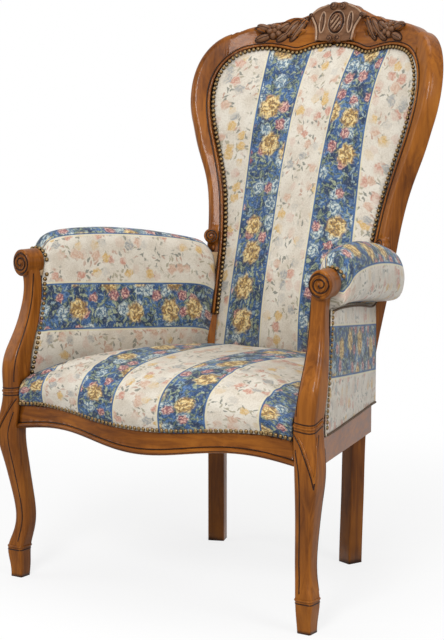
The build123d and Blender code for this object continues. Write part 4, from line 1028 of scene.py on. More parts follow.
# %% [markdown]
# ## The arms
# Inside arm, top and outward roll are one stuffed form. Rows like those of the CAD solid shape the cover,
# a little squarer at the rear: how far the top falls, how wide the roll is and where it tucks in below.
# Its front follows the rear edge of the curved post. Stripes run along the arm, with a blue one over the
# top.

# %% Arm covers
ARM_TOP = 671.0
ARM_REAR = 430.0
INNER_ROUND = 32.0
ARM_PUFF = 5.0
NOSE = 0.035
NOSE_DRAW = 0.16
NOSE_OUT = 24.0
NOSE_UP = 600.0
ROUND_CORNER = 3
TOP_CORNER = 5
TOP_BAND = 10.0
BAND_FRONT = 22.0
BAND_RAKE = 0.0975
# Along the arm from its front, fall of its top, width over the roll, underside of the roll, wall
ARM_TABLE = [(-40.0, 34.0, 48.0, 562.0, 22.0), (2.0, 30.0, 54.0, 562.0, 22.0),
             (26.0, 9.0, 60.0, 562.0, 22.0), (70.0, 0.0, 66.0, 560.0, 21.0),
             (165.0, 1.0, 73.0, 552.0, 18.0), (270.0, 12.0, 80.0, 540.0, 15.0),
             (352.0, 26.0, 84.0, 528.0, 12.0), (394.0, 35.0, 78.0, 524.0, 11.0),
             (416.0, 43.0, 62.0, 526.0, 11.0), (ARM_REAR, 60.0, 38.0, 530.0, 11.0)]
# Height, and the place along the arm where its cloth meets the post
POST_REAR = [(348.0, -36.0), (377.0, -36.0), (407.0, -30.0), (436.0, -23.0), (465.0, -16.0), (495.0, -9.0),
             (524.0, -4.0), (553.0, 0.0), (580.0, 1.0), (592.0, 7.0), (640.0, 8.0)]


def arm_section(along):
    """Outline of the arm at a place along it: girth shares with out and up, and corners."""
    fall, wide, under, wall = between(ARM_TABLE, along)
    top = ARM_TOP - fall
    low = rail_top((ARM_IN_FRONT + ARM_RUN * along).y)
    mid = (top + under) / 2
    ease = min(INNER_ROUND, top - mid)
    rise = top - ease - low
    half = wide / 2
    short = 1 - math.sqrt(0.5)
    corners = [(0.0, low), (-ARM_PUFF * 0.7, low + rise * 0.3), (-ARM_PUFF, low + rise * 0.65),
               (0.0, top - ease), (half * short, top - ease * short), (half, top),
               (half * (2 - short), mid + (top - mid) * (1 - short)), (wide, mid),
               (wall + (wide - wall) * 0.82, under + (mid - under) * 0.30), (wall, under),
               (wall, (low + under) / 2), (wall, low), (0.0, low)]
    lengths = [0.0]
    for a, b in zip(corners, corners[1:]):
        lengths.append(lengths[-1] + math.dist(a, b))
    return [(place / lengths[-1], *corner) for place, corner in zip(lengths, corners)], lengths


def arm_spot(sign):
    """Places of one arm's cover: u runs round the girth from inside below, v from the post to the back."""

    def place(u, v):
        along = ARM_REAR * v
        for _ in range(2):
            rows, lengths = arm_section(along)
            out, up = between(rows, u)
            start = between(POST_REAR, up)[0]
            along = start + (ARM_REAR - start) * v
        draw = NOSE_DRAW * max(1 - v / NOSE, 0.0) ** 2
        out += (NOSE_OUT - out) * draw
        up += (NOSE_UP - up) * draw * (up > NOSE_UP)
        point = ARM_IN_FRONT + ARM_RUN * along + ARM_OUT * out
        # The inside was cut flat, so its stripes run straight however the top falls.
        girth = u * lengths[-1]
        top, rounded = lengths[TOP_CORNER], lengths[ROUND_CORNER]
        flat = 1 - min(max((girth - rounded) / (top - rounded), 0.0), 1.0)
        fall = between(ARM_TABLE, along)[0] + BAND_FRONT - BAND_RAKE * along
        return (sign * point.x, point.y, up), (girth - top - TOP_BAND - fall * flat, along)

    return place


for sign, hand in ((1, "right"), (-1, "left")):
    shape = cover_patch(84, 80, arm_spot(sign), 0)
    arm = smooth_piece("arm_cover_" + hand, shape, cover, "cover", "arm_pad_" + hand)
print("arm covers: 2")

# %% [markdown]
# ## Outside covers
# Below each roll a thin padded panel closes the arm, and one wide panel closes the back from its rear
# rail up to the crest. Both lie flat on the frame and swell by a few millimetres.

# %% Outside covers
PANEL_BAND = 490.0
PANEL_BAND_FALL = 0.1225
PANEL_OUT = 6.0
PANEL_PUFF = 3.0
PANEL_TUCK = 4.0
PANEL_THICK = 4.0
OUTSIDE_LOW = 298.0
OUTSIDE_OUT = 1.5
OUTSIDE_PUFF = 2.5
OUTSIDE_THICK = 3.0


def panel_out(along):
    """Outer face of an arm's outside panel, out from the arm's inside face, and its upper edge."""
    _, _, under, wall = between(ARM_TABLE, along)
    return wall + PANEL_OUT, under + PANEL_TUCK


def panel_spot(sign):
    """Places of one outside panel: u runs up, v from the post to the back."""

    def place(u, v):
        along = ARM_REAR * v
        for _ in range(2):
            low = rail_top((ARM_IN_FRONT + ARM_RUN * along).y)
            out, high = panel_out(along)
            up = low + (high - low) * u
            start = between(POST_REAR, up)[0]
            along = start + (ARM_REAR - start) * v
        puff = PANEL_PUFF * math.sin(math.pi * u) * math.sin(math.pi * v)
        point = ARM_IN_FRONT + ARM_RUN * along + ARM_OUT * (out + puff)
        return (sign * point.x, point.y, up), (up - PANEL_BAND + PANEL_BAND_FALL * along, along)

    return place


for sign, hand in ((1, "right"), (-1, "left")):
    shape = cover_patch(40, 64, panel_spot(sign), PANEL_THICK)
    panel = smooth_piece("outside_arm_" + hand, shape, cover, "cover", "outside_arm_panel_" + hand)

# Height, half width and depth of the outside back along the rear posts
BACK_EDGE = [(300.0, 172.0, 151.0), (390.0, 179.0, 160.0), (480.0, 190.0, 173.0), (570.0, 202.0, 189.0)]
# Half width and height of its edge along the stiles
STILE_EDGE = ((198.0, 670.0), (213.0, 760.0), (229.0, 808.0), (244.0, 855.0), (256.0, 905.0), (260.0, 945.0),
              (255.0, 986.0), (242.0, 1016.0), (228.0, 1029.5))
for x, z in STILE_EDGE:
    spot = on_back(x, z, -FRAME_DEEP)
    BACK_EDGE.append((spot.z, spot.x, spot.y + OUTSIDE_OUT))


def outside_back_spot(u, v):
    """A point of the outside back and its cloth coordinates."""
    side = 2 * u - 1
    z = OUTSIDE_LOW + (BACK_EDGE[-1][0] - OUTSIDE_LOW) * v
    half, y = between(BACK_EDGE, z)
    x = side * half
    bow = barrel_drop(half) - barrel_drop(x)
    return (x, y + bow + OUTSIDE_PUFF * (1 - side**8), z), (x - BLUE_MIDDLE, z)


outside_shape = cover_patch(56, 64, outside_back_spot, OUTSIDE_THICK)
outside = smooth_piece("outside_back", outside_shape, cover, "cover", "outside_back_panel")
print("outside covers: 3")

# %% [markdown]
# ## Carving
# The larger carved masses are in the wood already. What a carver adds last is laid on here: cut lines
# as dark bars that paint the shade of their grooves over the glaze in them, raised beads, ribs of leaves
# and little domes for petals. `Wood` finds the surface of a CAD piece with a ray, so every line lies on it
# whatever its curve, and the left side mirrors the right.

# %% Lines on the wood
# Height, and the middle of the right front leg and arm post there
LEG_LINE = [(0.0, 327.0, -318.0), (38.0, 327.0, -318.0), (56.0, 328.0, -319.0), (80.0, 323.0, -314.0),
            (125.0, 318.0, -309.0), (209.0, 327.0, -318.0), (285.0, 336.0, -327.0), (348.0, 329.0, -320.0),
            (377.0, 328.5, -319.5), (407.0, 331.0, -316.5), (436.0, 332.0, -309.7), (465.0, 329.4, -298.5),
            (495.0, 326.0, -287.5), (524.0, 323.0, -280.0), (553.0, 321.0, -275.6), (583.0, 323.0, -274.4),
            (612.0, 327.0, -275.0)]
FAR = 150.0


class Wood:
    """The surface of a CAD node, found with rays; places in mm."""

    def __init__(self, node):
        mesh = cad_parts[node].data
        self.tree = BVHTree.FromPolygons([v.co for v in mesh.vertices], [p.vertices for p in mesh.polygons])

    def meet(self, start, way, lift):
        """Where a ray meets the wood, lifted off it, and the outward normal there."""
        spot, normal, _, _ = self.tree.ray_cast(Vector(start) * MM, Vector(way).normalized())
        if spot is None:
            spot, normal, _, _ = self.tree.find_nearest(Vector(start) * MM)
        if normal.dot(Vector(way)) > 0:
            normal = -normal
        return spot / MM + normal * lift, normal


def flip(line, sign):
    """A line of the right side, or its mirror image."""
    turn = Vector((sign, 1.0, 1.0))
    return [(point * turn, normal * turn) for point, normal in line]


CREST_OFF = 40.0
leg_wood = Wood("front_leg_right")
crest_wood = Wood("crest_rail")


def on_leg(degrees, z, lift):
    """A place on the right front leg or arm post, by the angle from straight ahead and the height."""
    x, y = between(LEG_LINE, z)
    way = Vector((math.sin(math.radians(degrees)), -math.cos(math.radians(degrees)), 0.0))
    return leg_wood.meet(Vector((x, y, z)) + way * FAR, -way, lift)


def leg_line(places, steps, lift):
    """A line on the leg through rows of share, angle and height."""
    line = []
    for i in range(steps + 1):
        degrees, z = between(places, i / steps)
        line.append(on_leg(degrees, z, lift))
    return line


def on_crest(x, z, lift):
    """A place on the carved front of the crest."""
    ahead = Vector((0.0, 1.0, 0.0))
    return crest_wood.meet(on_back(x, z) - ahead * CREST_OFF, ahead, lift)


print("wood surfaces: 2")

# %% [markdown]
# ## Cuts of the front sticks
# Each leg has a leaf cut into its knee, lines down its shin and a ring over its foot. Lines climb the arm
# post and wind into its scroll. The right stick is drawn, and the left one is its mirror image.

# %% Legs and arm posts
# Rows of share, angle from straight ahead to the outside, and height
LEG_CUTS = [
    [(0.0, -95.0, 380.0), (0.5, 30.0, 374.0), (1.0, 120.0, 383.0)],
    [(0.0, -95.0, 366.0), (0.5, 30.0, 360.0), (1.0, 120.0, 369.0)],
    [(0.0, -40.0, 356.0), (0.35, -8.0, 332.0), (0.7, 26.0, 296.0), (1.0, 46.0, 264.0)],
    [(0.0, 84.0, 356.0), (0.35, 66.0, 330.0), (0.7, 52.0, 296.0), (1.0, 46.0, 264.0)],
    [(0.0, -34.0, 330.0), (0.3, -22.0, 280.0), (0.6, -16.0, 190.0), (0.85, -14.0, 110.0),
     (1.0, -16.0, 72.0)],
    [(0.0, 128.0, 330.0), (0.4, 128.0, 250.0), (0.75, 128.0, 150.0), (1.0, 128.0, 74.0)],
    [(0.0, -30.0, 388.0), (0.3, -34.0, 440.0), (0.6, -36.0, 500.0), (0.85, -38.0, 560.0),
     (1.0, -52.0, 592.0)],
    [(0.0, -180.0, 55.0), (0.5, 0.0, 55.0), (1.0, 180.0, 55.0)],
]
LEG_BEADS = [
    [(0.0, -95.0, 373.0), (0.5, 30.0, 367.0), (1.0, 120.0, 376.0)],
    [(0.0, -180.0, 61.0), (0.5, 0.0, 61.0), (1.0, 180.0, 61.0)],
    [(0.0, -18.0, 352.0), (0.35, 8.0, 330.0), (0.7, 32.0, 300.0), (1.0, 46.0, 276.0)],
    [(0.0, 70.0, 352.0), (0.35, 60.0, 330.0), (0.7, 52.0, 300.0), (1.0, 46.0, 276.0)],
]
CUT_STEPS = 30
LEG_CUT = (1.3, 0.7)
LEG_BEAD = (2.4, 1.8)
SCROLL_CUT = (1.4, 0.8)
CUT_LIFT = 0.2
SCROLL_EYE = Vector((332.0, -275.0, 612.0))
SCROLL_FACING = Vector((math.sin(math.radians(7.0)), -math.cos(math.radians(7.0)), 0.0))
SCROLL_DEEP = 42.0
SPIRAL_START = 20.0
SPIRAL_TURNS = 2.2
SPIRAL_STEPS = 48
SPIRAL_EYE = 2.0
SPIRAL_EASE = 0.8


def spiral(middle, facing, start, turns, steps, lift):
    """A line that winds inwards on a face, starting at its foot."""
    side = UPRIGHT.cross(facing).normalized()
    up = facing.cross(side)
    line = []
    for i in range(steps + 1):
        share = i / steps
        angle = math.pi + TURN * turns * share
        reach = start * (1 - share) ** SPIRAL_EASE + SPIRAL_EYE
        spoke = side * reach * math.sin(angle) + up * reach * math.cos(angle)
        line.append((middle + spoke + facing * lift, facing))
    return line


scroll_face = SCROLL_EYE + SCROLL_FACING * SCROLL_DEEP / 2
scroll_line = spiral(scroll_face, SCROLL_FACING, SPIRAL_START, SPIRAL_TURNS, SPIRAL_STEPS, CUT_LIFT)
cuts, beads = bmesh.new(), bmesh.new()
for sign in (1, -1):
    for places in LEG_CUTS:
        bar(cuts, flip(leg_line(places, CUT_STEPS, 0.0), sign), *LEG_CUT)
    for places in LEG_BEADS:
        bar(beads, flip(leg_line(places, CUT_STEPS, 0.0), sign), *LEG_BEAD)
    bar(cuts, flip(scroll_line, sign), *SCROLL_CUT)
smooth_piece("leg_cut_lines", cuts, glaze_and_groove_shade, "show_wood")
smooth_piece("leg_beads", beads, upright_wood, "show_wood")
print("leg lines:", 2 * (len(LEG_CUTS) + len(LEG_BEADS) + 1))

# %% [markdown]
# ## Mouldings
# A bead and a dark line follow the inner edge of the back frame, round its shoulders and under the crest.
# Two more lines follow the scalloped edge of the front rail. They are thin bars laid on the wood: dark
# for a cut, as painted shade of its groove over the glaze, and wood for a bead.

# %% Lines of the back frame and the front rail
EDGE_STEPS = 60
BEAD_LOW = 480.0
RAIL_LOW = 291.0
SCALLOP_RISE = 18.0
SCALLOP_HALF = 195.0
RAIL_BEAD = 10.0
CORNER_GAP = 4.0
CORNER_ROUNDS = 12
RAIL_REACH = 0.94 * FRONT_LEG[0]
# Half width and half height of each bar
FRAME_CUT = (1.3, 0.8)
FRAME_BEAD = (3.2, 2.2)
RAIL_FINE = (0.9, 0.6)
# How far the bars lie from their edge
CUT_OFF = 8.6
BEAD_OFF = 4.4
RAIL_CUT_UP = RAIL_BEAD + 1.2
RAIL_FINE_UP = 3.6
RAIL_FINE_OUT = 3.4


def frame_edge(offset):
    """The inner edge of the right half of the back frame, moved outwards: x and z from arm to middle."""
    edge = []
    for i in range(EDGE_STEPS + 1):
        z = BEAD_LOW + (STILE_INSIDE[-1][0] - BEAD_LOW) * i / EDGE_STEPS
        edge.append(Vector((between(STILE_INSIDE, z)[0], z)))
    corner_x = edge[-1].x - CORNER_GAP
    for i in range(EDGE_STEPS + 1):
        x = corner_x * (1 - i / EDGE_STEPS)
        edge.append(Vector((x, between(CREST_UNDER, x)[0])))
    for _ in range(CORNER_ROUNDS):
        inner = [(edge[i - 1] + edge[i] * 2 + edge[i + 1]) / 4 for i in range(1, len(edge) - 1)]
        edge = [edge[0], *inner, edge[-1]]
    moved = []
    for i, spot in enumerate(edge):
        run = (edge[min(i + 1, len(edge) - 1)] - edge[max(i - 1, 0)]).normalized()
        moved.append(spot + Vector((run.y, -run.x)) * offset)
    return moved


def frame_line(offset, out):
    """A line round the right half of the back frame's inner edge, out from the frame's face."""
    line = []
    for x, z in frame_edge(offset):
        point = on_back(x, z, out)
        line.append((point, (point - on_back(x, z, out - 1.0)).normalized()))
    return line


def rail_line(up, out):
    """A line along the front rail's face, up from its scalloped lower edge."""
    line = []
    for i in range(2 * EDGE_STEPS + 1):
        x = RAIL_REACH * (i / EDGE_STEPS - 1)
        low = RAIL_LOW + SCALLOP_RISE * (1 - math.cos(math.pi * x / SCALLOP_HALF)) / 2
        slope = (front_rail_face(x + 1.0) - front_rail_face(x - 1.0)) / 2
        normal = Vector((slope, -1.0, 0.0)).normalized()
        line.append((Vector((x, front_rail_face(x), low + up)) + normal * out, normal))
    return line


cuts, beads = bmesh.new(), bmesh.new()
for sign in (1, -1):
    bar(cuts, flip(frame_line(CUT_OFF, CUT_LIFT), sign), *FRAME_CUT)
    bar(beads, flip(frame_line(BEAD_OFF, 0.0), sign), *FRAME_BEAD)
bar(cuts, rail_line(RAIL_CUT_UP, 0.0), *FRAME_CUT)
bar(cuts, rail_line(RAIL_FINE_UP, RAIL_FINE_OUT), *RAIL_FINE)
smooth_piece("frame_cut_lines", cuts, glaze_and_groove_shade, "show_wood")
smooth_piece("frame_beads", beads, upright_wood, "show_wood")
print("frame lines: 6")

# %% [markdown]
# ## The crest
# A cartouche with a gadrooned medallion sits in the middle of the crest, between two flutes and two pairs
# of small scrolls. From its upper corners a spray falls to each side: long leaves, the petals of a bud,
# an open flower and leaf tips. Old polish has darkened the carving. Its raised rims are pale, partly
# rubbed and partly a painted highlight, and its dark cut lines are painted shade of their grooves.

# %% Cartouche
CREST_TOP = 1124.0
# Height below the crest's top and half width of the cartouche
SHIELD_SIDE = [(-82.0, 42.0), (-66.0, 43.5), (-52.0, 47.0), (-40.0, 54.0), (-31.0, 59.0), (-23.0, 55.0),
               (-15.0, 42.0), (-8.0, 24.0)]
SHIELD_STEPS = 24
SHIELD_CUT_STEPS = 18
SHIELD_CUT_IN = Vector((4.2, 0.0))
SHIELD_SKIN = 0.4
MEDALLION_AT = -44.0
MEDALLION = Vector((14.0, 19.0))
FLUTE_AT = (33.0, -44.0)
FLUTE = Vector((6.4, 21.5))
FLUTE_LONG = 0.8
GOUGES = 4
GOUGE_PITCH = 6.4
GOUGE_HALF = Vector((9.0, 13.0))
GOUGE_SLANT = 0.7
GOUGE_FIELD = 0.82
LINE_HALF = 6
OVAL_STEPS = 28
MEDALLION_STEPS = 32
# How far outside the medallion its dark groove and its pale rim run
GROOVE_OUT = 2.6
RIM_OUT = 5.6
CURL_STEPS = 24
CURL_START = 0.72
CURL_CLOSE = 0.8
CURL_TURNS = 1.6
# Half width and half height of each bar
SHIELD_RIM = (2.3, 2.0)
SHIELD_CUT = (1.0, 0.7)
FLUTE_RIM = (1.8, 1.6)
FLUTE_CUT = (2.6, 0.5)
CURL_CUT = (0.9, 0.8)
MEDALLION_GROOVE = (2.4, 2.0)
MEDALLION_RIM = (1.1, 1.1)
RIDGE = (1.9, 1.5)
GOUGE_CUT = (1.3, 1.0)
ROUND_RINGS = 8
# x, height below the top, radius, height off the crest and hand of the small scrolls
SCROLLS = [(11.5, -12.0, 10.5, 14.0, 1), (10.0, -79.0, 9.5, 14.0, -1), (61.0, -31.0, 7.0, 11.0, 1)]


def crest_line(spots, lift):
    """A line on the crest through places seen from the front."""
    return [on_crest(spot[0], CREST_TOP + spot[1], lift) for spot in spots]


def crest_face(x, down):
    """A place on the uncarved face of the crest, and its normal."""
    point = on_back(x, CREST_TOP + down)
    return point, (on_back(x, CREST_TOP + down, 1.0) - point).normalized()


def ring(middle, wide, tall, steps):
    """Places round an oval, seen from the front."""
    turns = [TURN * i / steps for i in range(steps + 1)]
    return [Vector((middle[0] + wide * math.cos(turn), middle[1] + tall * math.sin(turn))) for turn in turns]


def shield_spot(u, v):
    """A point of the cartouche's face, a skin on the carved mass."""
    down = SHIELD_SIDE[0][0] + (SHIELD_SIDE[-1][0] - SHIELD_SIDE[0][0]) * v
    x = (2 * u - 1) * between(SHIELD_SIDE, down)[0]
    return on_crest(x, CREST_TOP + down, SHIELD_SKIN)[0], (x, down)


def volute(x, down, radius, high, hand):
    """A rounded boss on the right half of the crest, and the curl cut into it."""
    point, normal = crest_face(x, down)
    line = []
    for i in range(CURL_STEPS + 1):
        reach = CURL_START * radius * (1 - CURL_CLOSE * i / CURL_STEPS)
        angle = hand * TURN * CURL_TURNS * i / CURL_STEPS
        spot, _ = crest_face(x + reach * math.sin(angle), down - reach * math.cos(angle))
        line.append((spot + normal * high * math.sqrt(1 - (reach / radius) ** 2), normal))
    return (point, normal), line


cuts, toned, carved = bmesh.new(), bmesh.new(), bmesh.new()
for sign in (1, -1):
    edge = []
    for i in range(SHIELD_STEPS + 1):
        down = SHIELD_SIDE[0][0] + (SHIELD_SIDE[-1][0] - SHIELD_SIDE[0][0]) * i / SHIELD_STEPS
        edge.append(Vector((between(SHIELD_SIDE, down)[0], down)))
    inner = [spot - SHIELD_CUT_IN for spot in edge[:SHIELD_CUT_STEPS]]
    trough = []
    for i in range(2 * LINE_HALF + 1):
        trough.append((FLUTE_AT[0], FLUTE_AT[1] + FLUTE.y * FLUTE_LONG * (i / LINE_HALF - 1)))
    bar(toned, flip(crest_line(edge, 0.6), sign), *SHIELD_RIM)
    bar(cuts, flip(crest_line(inner, 0.6), sign), *SHIELD_CUT)
    bar(toned, flip(crest_line(ring(FLUTE_AT, *FLUTE, OVAL_STEPS), 0.5), sign), *FLUTE_RIM)
    bar(cuts, flip(crest_line(trough, 0.4), sign), *FLUTE_CUT)
    for x, down, radius, high, hand in SCROLLS:
        boss, line = volute(x, down, radius, high, hand)
        (point, normal), = flip([boss], sign)
        dome(carved, point, normal, UPRIGHT, (radius, radius, high), ROUND_RINGS)
        bar(cuts, flip(line, sign), *CURL_CUT)
for shape, out, bar_size in ((cuts, GROOVE_OUT, MEDALLION_GROOVE), (toned, RIM_OUT, MEDALLION_RIM)):
    oval = ring((0.0, MEDALLION_AT), MEDALLION.x + out, MEDALLION.y + out, MEDALLION_STEPS)
    bar(shape, crest_line(oval, 0.6), *bar_size)
for i in range(2 * GOUGES - 1):
    shift = (i - GOUGES + 1) * GOUGE_PITCH / 2
    gouge = []
    for j in range(2 * LINE_HALF + 1):
        t = j / LINE_HALF - 1
        spot = Vector((t * GOUGE_HALF.x + shift, t * GOUGE_HALF.y - shift * GOUGE_SLANT))
        if (spot.x / MEDALLION.x) ** 2 + (spot.y / MEDALLION.y) ** 2 < GOUGE_FIELD:
            gouge.append(spot + Vector((0.0, MEDALLION_AT)))
    if i % 2:
        bar(toned, crest_line(gouge, 0.4), *RIDGE)
    else:
        bar(cuts, crest_line(gouge, 0.4), *GOUGE_CUT)
smooth_piece("cartouche_face", cover_patch(56, 48, shield_spot, SHIELD_SKIN), carved_wood, "show_wood")
smooth_piece("cartouche_cut_lines", cuts, glaze_and_groove_shade, "show_wood")
# The pale rims of the cartouche: partly rubbed wear, partly a painted highlight
smooth_piece("cartouche_worn_edges", toned, rubbed_and_highlit_wood, "show_wood")
smooth_piece("cartouche_scrolls", carved, carved_wood, "show_wood")
print("scrolls of the cartouche:", 2 * len(SCROLLS))

# %% [markdown]
# ## Sprays and rosettes
# A leaf is a flattened ball with a cut line round it and a rib along its back. Petals about a heart make
# the open flower. Where a stile meets the arm, a small scroll and three drops finish it.

# %% Sprays
# Both ends of each leaf seen from the front, its half width and its height off the crest
SPRAY = [((70.0, -34.0), (102.0, -82.0), 7.5, 7.5), ((86.0, -38.0), (116.0, -74.0), 9.5, 8.5),
         ((106.0, -45.0), (129.0, -62.0), 9.0, 9.0), ((108.0, -65.0), (131.0, -82.0), 7.0, 8.0),
         ((145.0, -58.0), (176.0, -49.0), 8.0, 8.0), ((145.0, -70.0), (174.0, -81.0), 8.0, 8.0)]
FLOWER_AT = Vector((137.0, -61.0))
FLOWER_PETALS = 5
FLOWER_R = 17.5
PETAL_OUT = 9.5
PETAL_TURN = 0.3
PETAL = (8.5, 7.0, 10.0)
HEART = (6.5, 6.5, 12.0)
LEAF_RIM = (1.06, 1.12)
LEAF_STEPS = 24
RIB_REACH = 0.88
SPRAY_CUT = (1.1, 0.9)
RIB_CUT = (0.8, 0.7)
cuts, carved = bmesh.new(), bmesh.new()
for sign in (1, -1):
    turn = Vector((sign, 1.0, 1.0))
    for base, tip, wide, high in SPRAY:
        base, tip = Vector(base), Vector(tip)
        middle, half = (base + tip) / 2, (tip - base) / 2
        along = crest_face(*tip)[0] - crest_face(*base)[0]
        point, normal = crest_face(*middle)
        dome(carved, point * turn, normal * turn, along * turn, (along.length / 2, wide, high), ROUND_RINGS)
        aside = Vector((-half.y, half.x)).normalized()
        oval = ring((0.0, 0.0), *LEAF_RIM, LEAF_STEPS)
        rim = [middle + half * spot.x + aside * spot.y * wide for spot in oval]
        bar(cuts, flip(crest_line(rim, CUT_LIFT), sign), *SPRAY_CUT)
        rib = []
        for i in range(2 * LINE_HALF + 1):
            t = RIB_REACH * (i / LINE_HALF - 1)
            rib.append((point + along * t / 2 + normal * high * math.sqrt(1 - t * t), normal))
        bar(cuts, flip(rib, sign), *RIB_CUT)
    heart, normal = crest_face(*FLOWER_AT)
    for i in range(FLOWER_PETALS):
        angle = TURN * (i + PETAL_TURN) / FLOWER_PETALS
        point, facing = crest_face(*(FLOWER_AT + Vector((math.sin(angle), math.cos(angle))) * PETAL_OUT))
        dome(carved, point * turn, facing * turn, (point - heart) * turn, PETAL, ROUND_RINGS)
    dome(carved, heart * turn, normal * turn, UPRIGHT, HEART, ROUND_RINGS)
    oval = ring(FLOWER_AT, FLOWER_R, FLOWER_R, OVAL_STEPS)
    bar(cuts, flip(crest_line(oval, CUT_LIFT), sign), *SPRAY_CUT)
smooth_piece("spray_cut_lines", cuts, glaze_and_groove_shade, "show_wood")
smooth_piece("spray_leaves", carved, carved_wood, "show_wood")
print("spray leaves:", 2 * len(SPRAY))

# %% Rosettes of the stiles
ROSETTE = (202.0, 637.0)
ROSETTE_PROUD = 6.0
ROSETTE_START = 11.5
ROSETTE_TURNS = 2.0
ROSETTE_STEPS = 40
# Height below the rosette, shift outwards and half length of each drop
DROPS = ((24.0, -7.0, 8.0), (30.0, 2.0, 9.0), (25.0, 10.0, 7.0))
DROP_WIDE = 4.0
DROP_HIGH = 3.6
DROP_SPLAY = 0.02
cuts, beads = bmesh.new(), bmesh.new()
for sign in (1, -1):
    face = on_back(*ROSETTE, ROSETTE_PROUD)
    facing = (face - on_back(*ROSETTE)).normalized()
    curl = spiral(face, facing, ROSETTE_START, ROSETTE_TURNS, ROSETTE_STEPS, CUT_LIFT)
    bar(cuts, flip(curl, sign), *FRAME_CUT)
    for down, shift, long in DROPS:
        spot = on_back(ROSETTE[0] + shift, ROSETTE[1] - down, 0.0)
        (point, normal), = flip([(spot, facing)], sign)
        along = Vector((DROP_SPLAY * sign * shift, 0.0, 1.0))
        dome(beads, point, normal, along, (long, DROP_WIDE, DROP_HIGH))
smooth_piece("rosette_cut_lines", cuts, glaze_and_groove_shade, "show_wood")
smooth_piece("rosette_leaves", beads, upright_wood, "show_wood")
print("rosettes: 2")

# %% [markdown]
# ## Nails
# Brass dome nails stand shoulder to shoulder wherever the cloth ends on wood: round the back, along the
# front rail and down both sides of each arm post.

# %% Nails
NAIL_PITCH = 9.6
NAIL_R = 4.4
NAIL_HIGH = 3.2
NAIL_ALONG = Vector((0.3, 0.2, 1.0))
NAIL_OUT = 3.6
SEAT_NAILS_HALF = 303.0
FRAME_NAILS_IN = -3.4
# Out from the arm's inside face, and the heights from which and to which each row beside a post runs
INSIDE_NAILS = (-1.0, 372.0, 590.0)
OUTSIDE_NAILS = (28.5, 362.0, 562.0)
BEHIND_POST = 4.6
OVER_STEPS = 12
OVER_HALF = 80.0
OVER_R = 27.0
OVER_BACK = Vector((0.0, 24.0, 0.0))
OVER_LEAN = Vector((0.0, -0.5, 0.0))


def nail_row(shape, line):
    """Adds nails at their pitch along a line of (point, normal)."""
    places = spaced(line, NAIL_PITCH)
    for point, normal in places:
        dome(shape, point, normal, NAIL_ALONG, (NAIL_R, NAIL_R, NAIL_HIGH))
    return len(places)


def post_line(out, low, high, normal):
    """A line of nails behind the rear edge of the right arm post, out from the arm's inside face."""
    line = []
    for i in range(EDGE_STEPS + 1):
        up = low + (high - low) * i / EDGE_STEPS
        along = between(POST_REAR, up)[0] + BEHIND_POST
        point = ARM_IN_FRONT + ARM_RUN * along + ARM_OUT * out
        line.append((Vector((point.x, point.y, up)), normal))
    return line


seat_edge = []
for i in range(2 * EDGE_STEPS + 1):
    x = SEAT_NAILS_HALF * (i / EDGE_STEPS - 1)
    slope = (front_rail_face(x + 1.0) - front_rail_face(x - 1.0)) / 2
    normal = Vector((slope, -1.0, 0.0)).normalized()
    up = between(NAIL_LINE, abs(x))[0] + NAIL_R
    seat_edge.append((Vector((x, front_rail_face(x) - NAIL_OUT, up)), normal))
nails = bmesh.new()
count = nail_row(nails, seat_edge)
for sign in (1, -1):
    count += nail_row(nails, flip(frame_line(FRAME_NAILS_IN, NAIL_OUT), sign))
    inside = post_line(*INSIDE_NAILS, -ARM_OUT)
    outside_row = post_line(*OUTSIDE_NAILS, ARM_OUT)
    over = []
    for i in range(OVER_STEPS + 1):
        angle = math.radians(OVER_HALF * (2 * i / OVER_STEPS - 1))
        spoke = Vector((math.sin(angle), 0.0, math.cos(angle)))
        over.append((SCROLL_EYE + spoke * OVER_R + OVER_BACK, (spoke + OVER_LEAN).normalized()))
    for row in (inside, outside_row, over):
        count += nail_row(nails, flip(row, sign))
smooth_piece("brass_nails", nails, brass, None)
print("nails:", count)

# %% [markdown]
# ## Gimp
# A thin twisted cord hides the raw edge of each outside arm cover, along the side rail and under the
# roll.

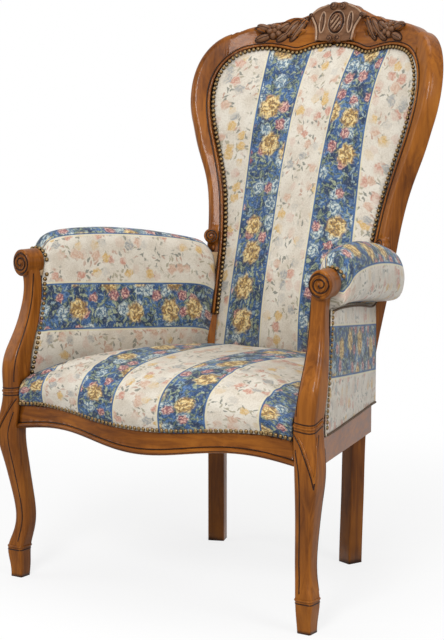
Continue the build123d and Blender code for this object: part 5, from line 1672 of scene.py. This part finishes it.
# %% Gimp cord
GIMP_R = 2.1
GIMP_OUT = 0.8
GIMP_START = -30.0
GIMP_STOP = ARM_REAR - 4.0
CREASE_START = 6.0
CREASE_BELOW = 5.0
trims = bmesh.new()
for sign in (1, -1):
    low_edge, crease = [], []
    for i in range(EDGE_STEPS + 1):
        along = GIMP_START + (GIMP_STOP - GIMP_START) * i / EDGE_STEPS
        out, high = panel_out(along)
        point = ARM_IN_FRONT + ARM_RUN * along + ARM_OUT * (out + GIMP_OUT)
        low_edge.append((Vector((point.x, point.y, rail_top(point.y) + GIMP_R)), ARM_OUT))
        if along > CREASE_START:
            crease.append((Vector((point.x, point.y, high - CREASE_BELOW)), ARM_OUT))
    for line in (low_edge, crease):
        bar(trims, flip(line, sign), GIMP_R, GIMP_R)
smooth_piece("gimp_cord", trims, gimp, None)
print("gimp lines: 4")

# %% [markdown]
# ## Under the seat
# Seen from below, the chair is closed by a thin black dust cloth. The webbing, springs and canvas above
# it stay as the CAD places them, in jute, steel and unbleached cotton.

# %% Hidden layers
DUST_DROP = 34.5
DUST_SAG = 4.0
DUST_FRONT = -300.0
DUST_REAR = 118.0
DUST_THICK = 0.8
RAIL_THICK = 26.0
RAIL_ROOM = 1.0
# Half widths of the cloth between the front legs, between the side rails and between the rear legs
FRONT_HALF = 300.0
SIDE_HALF = 317.0
REAR_HALF = 136.0
SIDE_FROM = -292.0
SIDE_START = -294.0
SIDE_TAPER = 0.3416
REAR_FROM = 100.0
BOW_SHARE = 4


def dust_spot(u, v):
    """A point of the dust cloth, tacked between the rails and sagging a little."""
    side = 2 * u - 1
    y = DUST_FRONT + (DUST_REAR - DUST_FRONT) * v
    half = FRONT_HALF
    if y > REAR_FROM:
        half = REAR_HALF
    elif y > SIDE_FROM:
        half = SIDE_HALF - SIDE_TAPER * (y - SIDE_START)
    x = side * half
    behind_rail = front_rail_face(x) + RAIL_THICK + RAIL_ROOM
    y += (behind_rail - DUST_FRONT) * max(1 - BOW_SHARE * v, 0.0)
    sag = DUST_SAG * math.sin(math.pi * u) * math.sin(math.pi * v)
    return (x, y, rail_top(y) - DUST_DROP - sag), (x, y)


dust_shape = cover_patch(40, 40, dust_spot, DUST_THICK)
dust_area = sum(face.calc_area() for face in dust_shape.faces) / 2
dust = smooth_piece("dust_cloth", dust_shape, dust_cloth, "dust_cloth", "dust_cover")
for node, finish, slot in (("seat_webbing", jute, "webbing"), ("back_webbing", jute, "webbing"),
                           ("spring_canvas", canvas, "canvas"), ("seat_springs", steel, "spring_steel")):
    finish_node(node, finish)
print("dust cloth area:", round(dust_area, 3))

# %% [markdown]
# ## Last step
# The boxes of the bare frame and of the dressed chair are written down, so that a slip in size shows at
# once.

# %% Finish
size = {"cad": cad_box, "visual": [[round(value, 4) for value in corner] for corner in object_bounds()]}
print(size)
